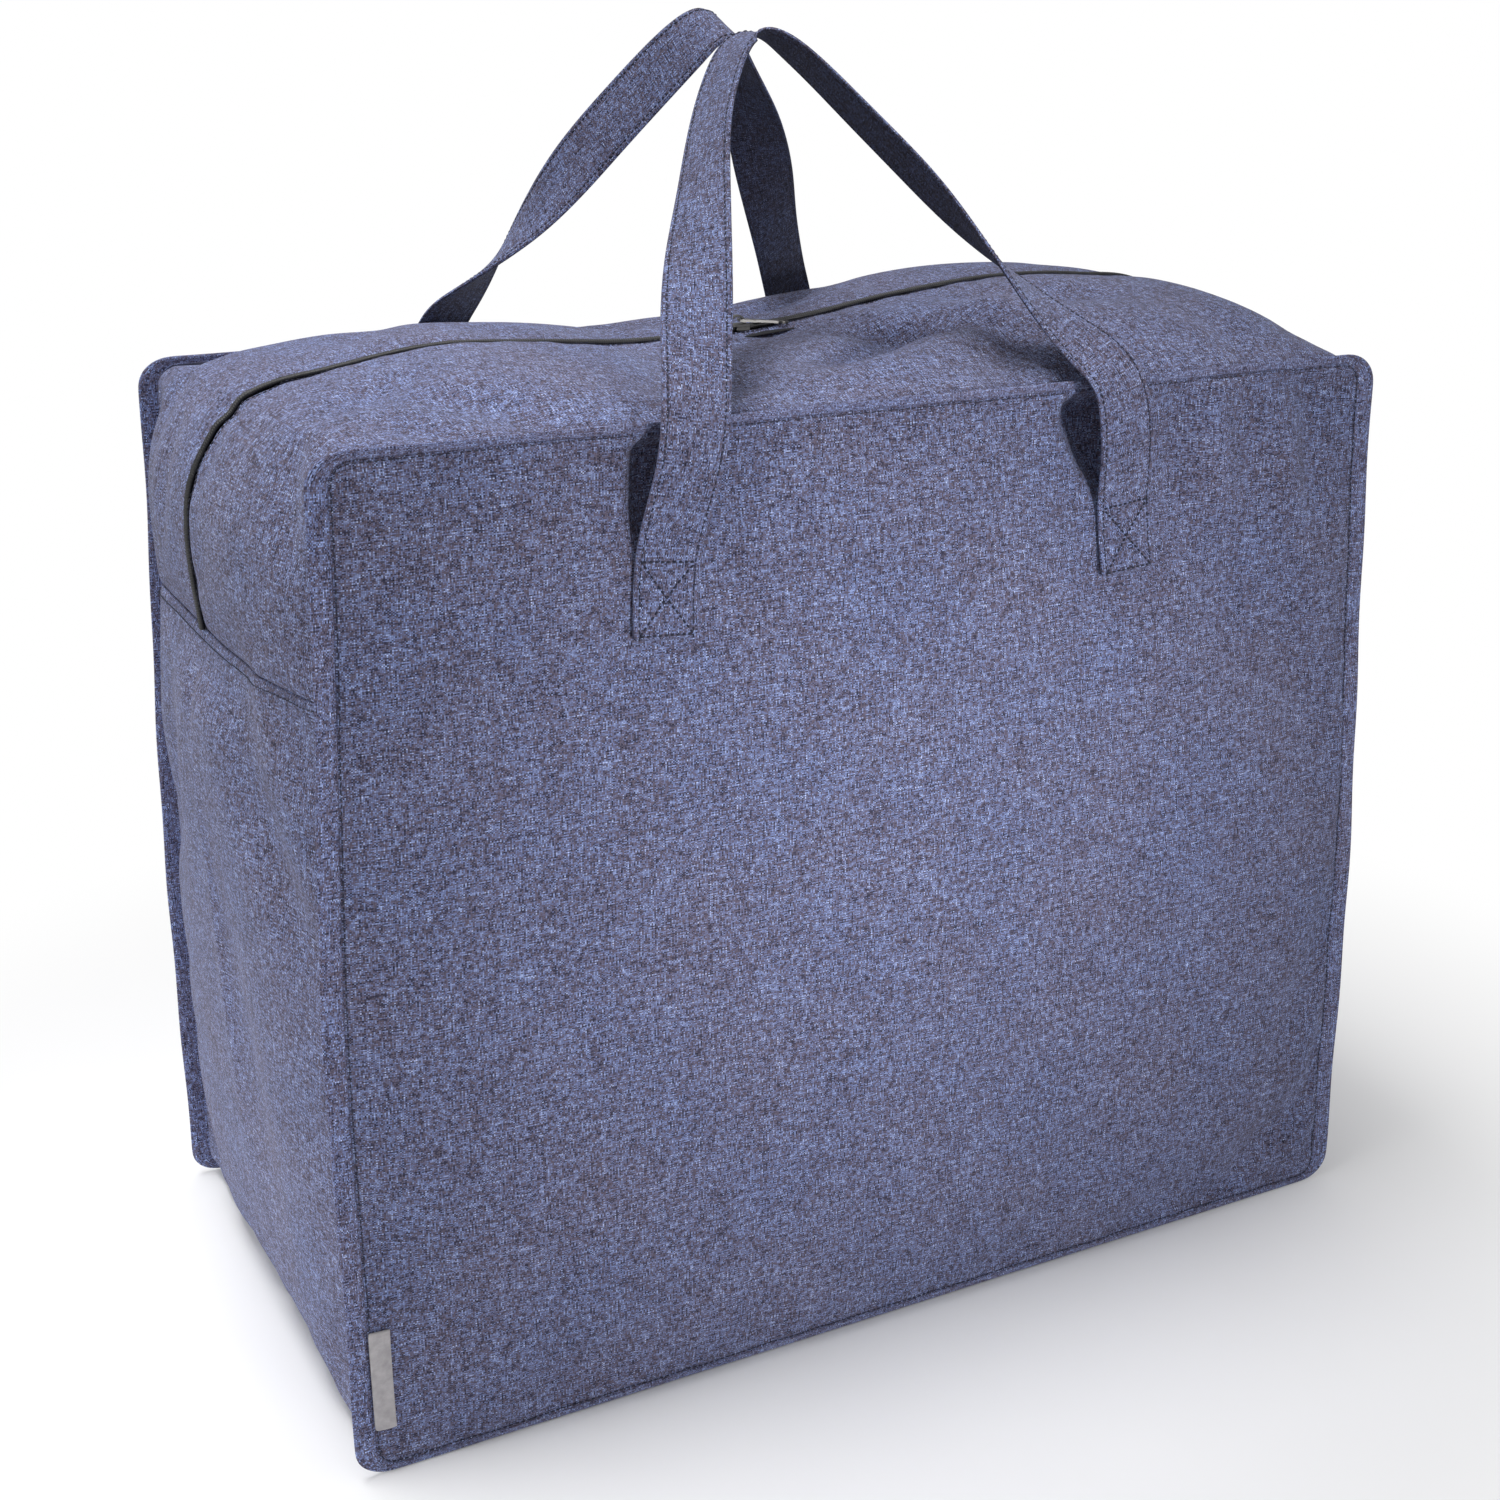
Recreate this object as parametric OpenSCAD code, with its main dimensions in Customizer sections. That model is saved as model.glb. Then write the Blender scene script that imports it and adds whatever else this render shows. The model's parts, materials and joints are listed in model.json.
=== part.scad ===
// Zipped fabric storage bag with two carry handles.
// Millimetres, +Z up, origin at the centre of the base, front face towards -Y.
// Each sewn piece is its own solid, a hair (clearance) away from its neighbours.

/* [Body] */
// Width over the two side seams
bag_w = 600; // [450:5:700]
// Depth over the front and rear panels
bag_d = 326; // [280:2:420]
// Height of the front panel
bag_h = 500; // [460:5:600]
// How far the soft sides and top bulge out at their middle
bulge = 20; // [16:1:32]
// Radius of the panel corners
corner_r = 12; // [8:1:24]
// Thickness of one layer of fabric
fabric_t = 1.6; // [1:0.1:1.8]
// Height at which the zipped strip is sewn to the lower wall
side_seam_z = 388; // [340:1:410]

/* [Edge seams] */
// Width of the edge seam down the sides
seam_side = 10; // [6:1:14]
// Width of the edge seam along the top
seam_top = 5; // [4:1:6]
// Width of the edge seam along the bottom
seam_base = 3; // [2:1:5]
// Thickness of the edge seam
seam_t = 3; // [2.6:0.2:3.4]

/* [Zip] */
// Where the two sliders meet when the zip is closed
zip_meet_x = -16; // [-60:1:60]
// Half length of the straight part of the zip that opens
lip_half = 255; // [180:1:255]
// Where a slider's centre stops, from the middle
slider_stop_x = 264; // [262:1:268]
// Width of one zip tape
tape_w = 13.4; // [10:0.2:18]
// Length of a slider
slider_l = 12; // [11:0.5:13]
// Length of a pull tab, from its pivot
tab_l = 27; // [22:1:36]
// Sideways turn of the pull tabs
tab_yaw = 12; // [0:1:12]
// Downward tilt of the pull tabs
tab_pitch = 4.5; // [3:0.5:4.5]

/* [Handles] */
// Width of the handle strap
strap_w = 33; // [24:1:40]
// Thickness of the handle strap
strap_t = 2.4; // [1.8:0.1:2.4]
// Distance of a strap end from the middle, at its foot
foot_x = 134; // [110:1:170]
// Distance of the strap from the middle, where it folds
fold_x = 131; // [110:1:160]
// Distance of the strap from the middle, at the top edge
ridge_x = 115; // [90:1:150]
// Height of the foot of the strap ends
foot_z = 399; // [340:1:405]
// Height of the fold above the sewn strap end
fold_z = 441.6; // [430:0.2:450]
// Length of strap between the fold and the bend at the bag's top edge
riser_l = 63.4; // [62:0.2:70]
// How far that length tilts away from the panel
riser_tilt = 5; // [0:1:10]
// Length of the loop above the bend, along its lean
loop_rise = 199; // [160:1:230]
// Radius of the top of the loop
loop_r = 34; // [25:1:60]
// How far the loops lean in over the bag
lean = 37; // [30:1:40]

/* [Label] */
// Width of the side label
label_w = 10; // [6:1:14]
// Height of the side label
label_h = 54; // [20:1:80]
// Height of the label's lower end
label_z = 26; // [16:1:60]

/* [Hidden] */

$fn = 96;
clearance = 0.1;                      // between two sewn pieces at rest
weave_col = [0.40, 0.42, 0.58];
weave_dark_col = [0.33, 0.35, 0.50];
seam_col = [0.36, 0.38, 0.54];
tape_col = [0.16, 0.16, 0.18];
coil_col = [0.22, 0.22, 0.23];
metal_col = [0.30, 0.29, 0.28];
thread_col = [0.22, 0.24, 0.40];
ribbon_col = [0.62, 0.62, 0.62];

// The strip that closes the bag runs along this base line and bulges outwards from it.
half_d = bag_d / 2;
inner_r = corner_r * 2 / 3;                        // corners inside the edge seam
strip_half = half_d - seam_t - clearance;          // half width of the strip, front to back
base_x = bag_w / 2 - seam_side;
base_z = bag_h - seam_top;
bulge_r = (strip_half * strip_half + bulge * bulge) / (2 * bulge);
bend_x = base_x - corner_r;                        // centre of the top corners
bend_z = base_z - corner_r;

// Zip levels, measured outwards from the base line.
lip_edge_y = 6;                                    // fabric stops here, clear of a slider
tape_t = 0.6;
tape_out = bulge - fabric_t - 0.3;
coil_t = 2;
coil_out = tape_out + clearance + coil_t;
coil_in_y = 0.5;
coil_w = 2.5;
zip_end_gap = 0.2;                                 // between moving and fixed lengths

// Lip hinges: along the rolled edge of the lip, just inside the edge seam.
lip_axis_y = strip_half - fabric_t / 2 - clearance;
lip_axis_z = base_z - fabric_t / 2;

// Slider levels.
slider_plate = 1.2;
slider_top = coil_out + 0.2 + slider_plate;
slider_floor = tape_out - tape_t - 0.2 - slider_plate;
slider_gap = 1.2;                                  // between the two sliders when closed
slider_off = (slider_l + slider_gap) / 2;
pivot_x = 1.6;                                     // pull tab pivot, from the slider's centre
pivot_h = 1.8;                                     // and above its top plate
pivot_d = 1.5;
bridge_r = 5;
bridge_t = 2.2;

// Handle levels.
stitch_t = 0.3;
roll_w = strap_w - 0.6;               // the rolled edge at the fold stops short of the edges
strap_y = half_d + clearance;                      // back of the strap on the panel
fold_y = strap_y + strap_t + stitch_t + clearance; // axis of the fold
riser_in = fold_y - strap_y - strap_t / 2;         // middle of the strap, behind the fold's axis
// Axis of the bend at the bag's top edge.
ridge_y = fold_y - riser_in * cos(riser_tilt) + riser_l * sin(riser_tilt);
ridge_z = fold_z + riser_in * sin(riser_tilt) + riser_l * cos(riser_tilt);

// ---------- helpers ----------

// Cross-section of the bulging strip, as (outwards, front to back), from y0 to y1.
module strip_section(y0, y1) {
    intersection() {
        translate([bulge - bulge_r, 0]) difference() {
            circle(bulge_r, $fn = 360);
            circle(bulge_r - fabric_t, $fn = 360);
        }
        translate([-2 * fabric_t, y0]) square([bulge + 4 * fabric_t, y1 - y0]);
    }
}

// A level band of a section: from y0 to y1, with its outer face at out.
module band_section(y0, y1, out, t) {
    translate([out - t, y0]) square([t, y1 - y0]);
}

// Extrudes a section along the top, from x0 to x1.
module along_top(x0, x1) {
    translate([x1, 0, base_z]) rotate([0, -90, 0]) linear_extrude(x1 - x0) children();
}

// Sweeps a section over a top corner and down one side, to the side seam.
// side is 1 on the right and -1 on the left.
module over_corner(side) {
    mirror([side < 0 ? 1 : 0, 0, 0]) {
        along_top(lip_half + zip_end_gap, bend_x) children();
        translate([bend_x, 0, bend_z]) rotate([90, 0, 0]) rotate_extrude(angle = 90)
            translate([corner_r, 0]) mirror([0, 1]) children();
        translate([base_x, 0, side_seam_z + clearance])
            linear_extrude(bend_z - side_seam_z - clearance) children();
    }
}

// Rounded rectangle standing on the floor, in the plane of the front panel.
module panel_outline(side_in, base_in, top_in, r) {
    w = bag_w - 2 * side_in;
    h = bag_h - base_in - top_in;
    translate([-w / 2 + r, base_in + r]) union() {
        for (dx = [0, w - 2 * r], dz = [0, h - 2 * r]) translate([dx, dz]) circle(r);
        translate([-r, 0]) square([w, h - 2 * r]);
        translate([0, -r]) square([w - 2 * r, h]);
    }
}

// Puts a shape drawn for the front on the rear.
module at_rear() { mirror([0, 1, 0]) children(); }

// A flat shape in the front plane, from y_out inwards by t.
module front_sheet(y_out, t) {
    translate([0, -y_out + t, 0]) rotate([90, 0, 0]) linear_extrude(t) children();
}

// ---------- sewn body ----------

module panel() {
    front_sheet(half_d - clearance, fabric_t)
        panel_outline(seam_side + clearance, seam_base + clearance, seam_top + clearance,
                      inner_r);
}

module edge_seam() {
    front_sheet(half_d, seam_t) difference() {
        panel_outline(0, 0, 0, corner_r);
        panel_outline(seam_side, seam_base, seam_top, inner_r);
    }
}

// Bottom and lower sides, cut from one length of fabric.
module lower_wall() {
    for (s = [0, 1]) mirror([s, 0, 0]) translate([base_x, 0, 0])
        linear_extrude(side_seam_z) strip_section(-strip_half, strip_half);
    linear_extrude(fabric_t) {
        square([2 * base_x, 2 * strip_half], center = true);
        for (s = [0, 1]) mirror([s, 0, 0]) intersection() {
            translate([base_x + bulge - bulge_r, 0]) circle(bulge_r, $fn = 360);
            translate([base_x - 1, -strip_half]) square([bulge + 2, 2 * strip_half]);
        }
    }
}

module gusset_end(side) {
    over_corner(side) strip_section(-strip_half, -lip_edge_y);
}

// The part of the zipped strip that folds in when the zip opens.
module lip() {
    along_top(-lip_half, lip_half) strip_section(-lip_axis_y, -lip_edge_y);
    translate([-lip_half, -lip_axis_y, lip_axis_z]) rotate([0, 90, 0])
        cylinder(d = fabric_t, h = 2 * lip_half);
}

// ---------- zip ----------

module tape_section() {
    band_section(-coil_in_y - tape_w, -coil_in_y - clearance, tape_out, tape_t);
}

module coil_section() {
    band_section(-coil_in_y - coil_w, -coil_in_y, coil_out, coil_t);
}

module both_halves() {
    children();
    mirror([0, 1]) children();
}

// Slider for the right hand side, drawn at the middle of the zip. Its nose faces left.
module slider_shape() {
    nose = 4.8;                       // half widths of the plates
    tail = 3.8;
    shoulder = 1.5;                   // how far the nose corners are cut back
    rail_t = 0.8;
    rail_start = 4;
    post_t = 0.8;
    post_l = 2.6;
    post_in = 0.6;
    bridge_band = 1.3;
    tip = slider_l / 2;
    plate = [[-tip, -nose + shoulder], [-tip + shoulder, -nose], [tip, -tail],
             [tip, tail], [-tip + shoulder, nose], [-tip, nose - shoulder]];
    for (z = [slider_floor, slider_top - slider_plate]) translate([0, 0, base_z + z])
        linear_extrude(slider_plate) polygon(plate);
    // Post that splits the two coils at the nose and joins the plates.
    translate([-tip + post_in, -post_t / 2, base_z + slider_floor + slider_plate / 2])
        cube([post_l, post_t, slider_top - slider_floor - slider_plate]);
    // Rails that keep the coils in, above the tapes.
    for (s = [0, 1]) mirror([0, s, 0])
        translate([-tip + rail_start, tail - rail_t, base_z + tape_out + 2 * clearance])
            cube([slider_l - rail_start, rail_t,
                  slider_top - slider_plate / 2 - tape_out - 2 * clearance]);
    // Bridge that holds the pull tab.
    translate([0, bridge_t / 2, base_z + slider_top - 2 * clearance]) rotate([90, 0, 0])
        linear_extrude(bridge_t) difference() {
            circle(bridge_r);
            circle(bridge_r - bridge_band);
            translate([-2 * bridge_r, -2 * bridge_r]) square([4 * bridge_r, 2 * bridge_r]);
        }
}

// Pull tab drawn along +X from its pivot: a yoke, a neck and a round end with a slot.
module tab_shape() {
    yoke_out = 3;                     // half widths of the yoke
    yoke_in = 2;
    yoke_l = 7;
    neck = 2;
    tab_t = 1.3;
    end_r = 3.3;
    slot_r = 1.2;
    slot_l = 1.6;
    end_x = tab_l - end_r;
    rotate([90, 0, 0]) translate([0, 0, -yoke_out]) cylinder(d = pivot_d, h = 2 * yoke_out);
    translate([0, 0, -tab_t / 2]) linear_extrude(tab_t) difference() {
        union() {
            translate([0, -yoke_out]) square([yoke_l + slot_r, 2 * yoke_out]);
            translate([yoke_l, -neck]) square([end_x - yoke_l, 2 * neck]);
            translate([end_x, 0]) circle(end_r);
        }
        translate([-1, -yoke_in]) square([yoke_l + 1, 2 * yoke_in]);
        for (s = [-1, 1]) translate([end_x + s * slot_l / 2, 0]) circle(slot_r);
        translate([end_x - slot_l / 2, -slot_r]) square([slot_l, 2 * slot_r]);
    }
}

module tab_at_rest() {
    translate([pivot_x, 0, base_z + slider_top + pivot_h])
        rotate([0, tab_pitch, -tab_yaw]) tab_shape();
}

module place_slider(side) {
    translate([zip_meet_x + side * slider_off, 0, 0]) mirror([side < 0 ? 1 : 0, 0, 0]) children();
}

// ---------- handles, drawn for the front ----------

// A leaning length of strap on the panel, from (x0, z0) up to (x1, z1).
module strap_length(x0, z0, x1, z1) {
    half = strap_w / 2;
    front_sheet(strap_y + strap_t, strap_t)
        polygon([[x0 - half, z0], [x0 + half, z0], [x1 + half, z1], [x1 - half, z1]]);
}

module strap_end(side) {
    strap_length(side * foot_x, foot_z, side * fold_x, fold_z - strap_t / 2 - 2 * clearance);
}

// The strap between the fold and the top edge, tilted about the fold's axis.
module riser(side) {
    top_z = fold_z + riser_l - strap_t / 2 - 3 * clearance;
    translate([0, -fold_y, fold_z]) rotate([riser_tilt, 0, 0]) translate([0, fold_y, -fold_z]) {
        strap_length(side * fold_x, fold_z, side * ridge_x, top_z);
        translate([side * fold_x - roll_w / 2, -fold_y, fold_z]) rotate([0, 90, 0])
            cylinder(d = strap_t, h = roll_w);
    }
}

// Stitched box and cross on one strap end.
module box_stitch(side) {
    bar = 0.6;
    margin = 2.5;                     // from the strap's edges
    bw = strap_w - 2 * margin;
    z0 = foot_z + margin;
    bh = fold_z - z0 - 2 * margin;
    slant = atan2(bh, bw);
    translate([side * (foot_x + fold_x) / 2, -strap_y - strap_t - clearance / 2, z0 + bh / 2])
        rotate([90, 0, 0]) linear_extrude(stitch_t - clearance) {
            difference() {
                square([bw, bh], center = true);
                square([bw - 2 * bar, bh - 2 * bar], center = true);
            }
            intersection() {
                square([bw, bh], center = true);
                union() for (a = [slant, -slant]) rotate(a)
                    square([2 * bh, bar], center = true);
            }
        }
}

// Centre line of the loop in its own plane: two straight legs and a round top.
loop_c = loop_rise - loop_r;                                   // centre of the round top
leg_l = sqrt(ridge_x * ridge_x + loop_c * loop_c - loop_r * loop_r);
leg_a = atan2(loop_c, ridge_x) + asin(loop_r / sqrt(ridge_x * ridge_x + loop_c * loop_c));
leg_steps = 14;
top_steps = 12;
loop_steps = 2 * leg_steps + top_steps;

function smooth(t) = let (c = max(0, min(1, t))) c * c * (3 - 2 * c);
function unit(v) = v / norm(v);

// Heading of the centre line at step i, in degrees from +X.
function heading(i) = i <= leg_steps ? leg_a
    : i >= leg_steps + top_steps ? -leg_a
    : leg_a * (1 - 2 * (i - leg_steps) / top_steps);

function loop_point(i) = i <= leg_steps
    ? [-ridge_x + leg_l * i / leg_steps * cos(leg_a), leg_l * i / leg_steps * sin(leg_a)]
    : i >= leg_steps + top_steps
        ? let (p = loop_point(loop_steps - i)) [-p[0], p[1]]
        : [-loop_r * sin(heading(i)), loop_c + loop_r * cos(heading(i))];

// How far the strap has turned on edge, in degrees: none at the feet, square at the top.
function turn(i) = 90 * smooth(1.15 * min(i, loop_steps - i) / (leg_steps + top_steps / 2));

// Four corners of the strap at step i. Axes: across the bag, outwards, up the loop.
function loop_corners(i) =
    let (p = loop_point(i), h = heading(i), a = turn(i),
         along = [cos(h), 0, sin(h)],
         away = [-sin(h), 0, cos(h)],
         face = cos(a) * [0, -1, 0] + sin(a) * away,
         across = cross(along, face),
         flat = smooth(min(i, loop_steps - i) / 4),
         width = unit(flat * across + (1 - flat) * [across[0] > 0 ? 1 : -1, 0, 0]),
         c = [p[0], 0, p[1]],
         w = width * strap_w / 2,
         t = face * strap_t / 2)
    [c - w - t, c + w - t, c + w + t, c - w + t];

module loop() {
    points = [for (i = [0:loop_steps]) each loop_corners(i)];
    last = 4 * loop_steps;
    faces = concat([[0, 1, 2, 3]], [[last + 3, last + 2, last + 1, last]],
        [for (i = [0:loop_steps - 1], k = [0:3])
            let (a = 4 * i + k, b = 4 * i + (k + 1) % 4) each [[a, a + 4, b], [b, a + 4, b + 4]]]);
    translate([0, -ridge_y, ridge_z]) rotate([-lean, 0, 0])
        polyhedron(points, faces);
}

// ---------- nodes ----------

module front_panel() { color(weave_dark_col) panel(); }
module rear_panel() { color(weave_dark_col) at_rear() panel(); }
module lower_gusset() { color(weave_col) lower_wall(); }
module front_gusset_left() { color(weave_col) gusset_end(-1); }
module front_gusset_right() { color(weave_col) gusset_end(1); }
module rear_gusset_left() { color(weave_col) at_rear() gusset_end(-1); }
module rear_gusset_right() { color(weave_col) at_rear() gusset_end(1); }
module front_lip() { color(weave_col) lip(); }
module rear_lip() { color(weave_col) at_rear() lip(); }
module front_edge_seam() { color(seam_col) edge_seam(); }
module rear_edge_seam() { color(seam_col) at_rear() edge_seam(); }
module front_zip_tape() { color(tape_col) along_top(-lip_half, lip_half) tape_section(); }
module rear_zip_tape() { color(tape_col) at_rear() front_zip_tape(); }
module front_zip_coil() { color(coil_col) along_top(-lip_half, lip_half) coil_section(); }
module rear_zip_coil() { color(coil_col) at_rear() front_zip_coil(); }
module left_zip_tapes() { color(tape_col) over_corner(-1) both_halves() tape_section(); }
module right_zip_tapes() { color(tape_col) over_corner(1) both_halves() tape_section(); }
module left_zip_coils() { color(coil_col) over_corner(-1) both_halves() coil_section(); }
module right_zip_coils() { color(coil_col) over_corner(1) both_halves() coil_section(); }
module left_slider() { color(metal_col) place_slider(-1) slider_shape(); }
module right_slider() { color(metal_col) place_slider(1) slider_shape(); }
module left_pull_tab() { color(metal_col) place_slider(-1) tab_at_rest(); }
module right_pull_tab() { color(metal_col) place_slider(1) tab_at_rest(); }
module front_handle_left_end() { color(weave_col) strap_end(-1); }
module front_handle_right_end() { color(weave_col) strap_end(1); }
module front_handle_left_riser() { color(weave_col) riser(-1); }
module front_handle_right_riser() { color(weave_col) riser(1); }
module front_handle_loop() { color(weave_col) loop(); }
module rear_handle_left_end() { color(weave_col) at_rear() strap_end(-1); }
module rear_handle_right_end() { color(weave_col) at_rear() strap_end(1); }
module rear_handle_left_riser() { color(weave_col) at_rear() riser(-1); }
module rear_handle_right_riser() { color(weave_col) at_rear() riser(1); }
module rear_handle_loop() { color(weave_col) at_rear() loop(); }
module front_handle_stitching() { color(thread_col) { box_stitch(-1); box_stitch(1); } }
module rear_handle_stitching() { color(thread_col) at_rear() { box_stitch(-1); box_stitch(1); } }

// Blank ribbon sewn in at the left edge seam, low on the front.
module side_label() {
    ribbon_t = 0.6;
    color(ribbon_col) translate([-base_x, -half_d - clearance - ribbon_t, label_z])
        cube([label_w, ribbon_t, label_h]);
}

front_panel();
rear_panel();
lower_gusset();
front_gusset_left();
front_gusset_right();
rear_gusset_left();
rear_gusset_right();
front_lip();
rear_lip();
front_edge_seam();
rear_edge_seam();
front_zip_tape();
rear_zip_tape();
front_zip_coil();
rear_zip_coil();
left_zip_tapes();
right_zip_tapes();
left_zip_coils();
right_zip_coils();
left_slider();
right_slider();
left_pull_tab();
right_pull_tab();
front_handle_left_end();
front_handle_right_end();
front_handle_left_riser();
front_handle_right_riser();
front_handle_loop();
rear_handle_left_end();
rear_handle_right_end();
rear_handle_left_riser();
rear_handle_right_riser();
rear_handle_loop();
front_handle_stitching();
rear_handle_stitching();
side_label();
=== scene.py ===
import json
import math

import bpy
import numpy as np
from mathutils import Matrix, Vector


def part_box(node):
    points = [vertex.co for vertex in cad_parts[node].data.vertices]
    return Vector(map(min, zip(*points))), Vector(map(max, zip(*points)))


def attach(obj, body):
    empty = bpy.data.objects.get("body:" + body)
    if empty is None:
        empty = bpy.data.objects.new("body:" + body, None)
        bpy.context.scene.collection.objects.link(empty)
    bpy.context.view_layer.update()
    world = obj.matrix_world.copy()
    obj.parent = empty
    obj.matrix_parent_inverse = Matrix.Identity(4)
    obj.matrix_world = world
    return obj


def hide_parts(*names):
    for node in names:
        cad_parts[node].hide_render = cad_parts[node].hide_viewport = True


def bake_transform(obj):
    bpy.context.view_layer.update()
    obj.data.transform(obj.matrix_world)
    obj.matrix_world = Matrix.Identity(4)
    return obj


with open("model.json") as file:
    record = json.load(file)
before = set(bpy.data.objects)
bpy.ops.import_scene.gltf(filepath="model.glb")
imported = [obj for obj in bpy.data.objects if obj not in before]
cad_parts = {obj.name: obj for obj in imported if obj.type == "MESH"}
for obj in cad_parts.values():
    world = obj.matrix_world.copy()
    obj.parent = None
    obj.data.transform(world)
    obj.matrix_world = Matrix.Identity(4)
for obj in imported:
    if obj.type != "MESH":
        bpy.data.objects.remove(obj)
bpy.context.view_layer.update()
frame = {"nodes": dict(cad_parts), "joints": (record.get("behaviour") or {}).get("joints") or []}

# Looks of a zipped fabric storage bag with two carry handles. Metres, +Z up, front towards -Y.

SEED = 7
MM = 0.001


# ---------- sizes that come from the frame ----------

def low(node):
    return np.array(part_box(node)[0])


def high(node):
    return np.array(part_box(node)[1])


def joint(name):
    return next(j for j in frame["joints"] if j["name"] == name)


HALF_W = high("front_edge_seam")[0]
HALF_D = -low("front_edge_seam")[1]
HEIGHT = high("front_edge_seam")[2]
STRIP_HALF = -high("front_edge_seam")[1]
BASE_X = -low("side_label")[0]
BASE_Z = high("front_panel")[2]
FLOOR_Z = low("front_panel")[2]
CROSS_Z = high("lower_gusset")[2]
SEAM_SIDE = HALF_W - BASE_X
SEAM_TOP = HEIGHT - BASE_Z
SEAM_BASE = FLOOR_Z
CORNER_R = 12 * MM

STRAP_W = high("front_handle_left_end")[0] - low("front_handle_left_end")[0] - 3 * MM
STRAP_T = high("front_handle_left_end")[1] - low("front_handle_left_end")[1]
FOOT_Z = low("front_handle_left_end")[2]
FOLD_Y, FOLD_Z = joint("rear_handle_swing")["pos_m"][1:]
RIDGE_Y, RIDGE_Z = joint("rear_handle_straighten")["pos_m"][1:]

SLIDER_X = [(low(n)[0] + high(n)[0]) / 2 for n in ("left_slider", "right_slider")]
SLIDER_STOP = SLIDER_X[1] + joint("zip_open")["range_m"][1]
ZIP_PITCH = 1.27 * MM

# ---------- the soft shape ----------

CELL = 8 * MM                  # size of a mesh cell before subdivision
CORNER_CELLS = 4
CLOTH_T = 1.1 * MM
PANEL_RISE = 0.8 * MM          # panels stand this much proud of their sunk seam line
RING_Y = STRIP_HALF + 0.6 * MM
ZIP_EDGE = 2.5 * MM            # the fabric stops this far from the middle of the zip

# The filled bag is a little narrower at the top than at the base.
SPREAD_RUN = 0.32
SPREAD_X = (-7 * MM, 5.5 * MM)
SPREAD_Y = (-3.5 * MM, 2.5 * MM)

# How far the strip bulges at its middle: (place, bulge), along the top and up the sides.
TOP_BULGE = ((-0.290, 0.0005), (-0.273, 0.0075), (-0.240, 0.0135), (-0.180, 0.0215), (-0.130, 0.0195),
             (-0.070, 0.016), (-0.016, 0.0182), (0.030, 0.0225), (0.090, 0.0310), (0.165, 0.037),
             (0.215, 0.035), (0.266, 0.026), (0.290, 0.009))
SIDE_BULGE = ((0.0, 0.0), (0.05, 0.003), (0.15, 0.009), (0.25, 0.014), (0.33, 0.021),
              (0.388, 0.0185), (0.418, 0.0225), (0.441, 0.0235), (0.461, 0.0205),
              (0.480, 0.0105), (0.495, -0.001))
CROWN_FRONT = 2.6
CROWN_REAR = 3.0


def smooth(t):
    t = np.clip(t, 0, 1)
    return t * t * (3 - 2 * t)


def unit(v):
    return v / np.maximum(np.linalg.norm(v, axis=-1, keepdims=True), 1e-9)


def distances(points):
    """How far along a line each of its points is."""
    return np.concatenate([[0], np.cumsum(np.linalg.norm(np.diff(points, axis=0), axis=1))])


def read_along(points, s, t):
    """Points known at distances s along a line, read at distances t."""
    return np.stack([np.interp(t, s, column) for column in points.T], -1)


def grid_of(u, v):
    """Every pair of a u and a v, as a grid."""
    return np.stack(np.meshgrid(u, v, indexing="ij"), -1)


def half_of(side):
    return "front" if side < 0 else "rear"


def curve_through(points, x):
    """A smooth curve through (place, value) points, read at x."""
    px, py = np.array(points, float).T
    slope = np.gradient(py, px)
    i = np.clip(np.searchsorted(px, x) - 1, 0, len(px) - 2)
    h = px[i + 1] - px[i]
    t = np.clip((x - px[i]) / h, 0, 1)
    t2, t3 = t * t, t * t * t
    return ((2 * t3 - 3 * t2 + 1) * py[i] + (t3 - 2 * t2 + t) * h * slope[i]
            + (3 * t2 - 2 * t3) * py[i + 1] + (t3 - t2) * h * slope[i + 1])


def spread(p):
    """The narrowing towards the top, across and front to back."""
    q = np.array(p, float)
    t = smooth((HEIGHT - q[..., 2]) / SPREAD_RUN)
    k = np.clip(1 - q[..., 2] / HEIGHT, 0, 1)
    q[..., 0] += q[..., 0] / HALF_W * (SPREAD_X[0] + (SPREAD_X[1] - SPREAD_X[0]) * t)
    q[..., 1] += q[..., 1] / HALF_D * (SPREAD_Y[0] + (SPREAD_Y[1] - SPREAD_Y[0]) * k)
    return q


def crease(u, v, at, angle, length, width, depth):
    """A soft long dent centred at `at`, turned by angle degrees. A negative depth stands out."""
    c, s = math.cos(math.radians(angle)), math.sin(math.radians(angle))
    along = (u - at[0]) * c + (v - at[1]) * s
    across = (v - at[1]) * c - (u - at[0]) * s
    return depth * np.exp(-(along / length) ** 2 - (across / width) ** 2)


# Creases as (place, angle, length, width, depth), in the panel's plane (across, up).
PANEL_CREASES = (
    ((0.165, 0.455), 97, 0.045, 0.010, 0.0058),
    ((0.190, 0.452), 95, 0.040, 0.009, -0.0042),
    ((0.214, 0.450), 100, 0.050, 0.010, 0.0061),
    ((0.240, 0.455), 98, 0.040, 0.010, -0.0038),
    ((0.258, 0.448), 96, 0.045, 0.009, 0.0050),
    ((0.205, 0.375), 112, 0.070, 0.024, 0.0080),
    ((0.250, 0.330), 100, 0.080, 0.020, 0.0058),
    ((-0.088, 0.468), 55, 0.030, 0.010, 0.0028),
    ((-0.075, 0.450), 130, 0.040, 0.014, 0.0016),
    ((0.245, 0.035), 8, 0.022, 0.009, 0.0024),
    ((0.190, 0.028), 4, 0.030, 0.008, 0.0016),
    ((-0.236, 0.460), 75, 0.060, 0.020, 0.0014),
    ((-0.180, 0.034), 3, 0.070, 0.008, 0.0012),
    ((0.020, 0.030), 2, 0.080, 0.008, 0.0012),
)
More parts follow.
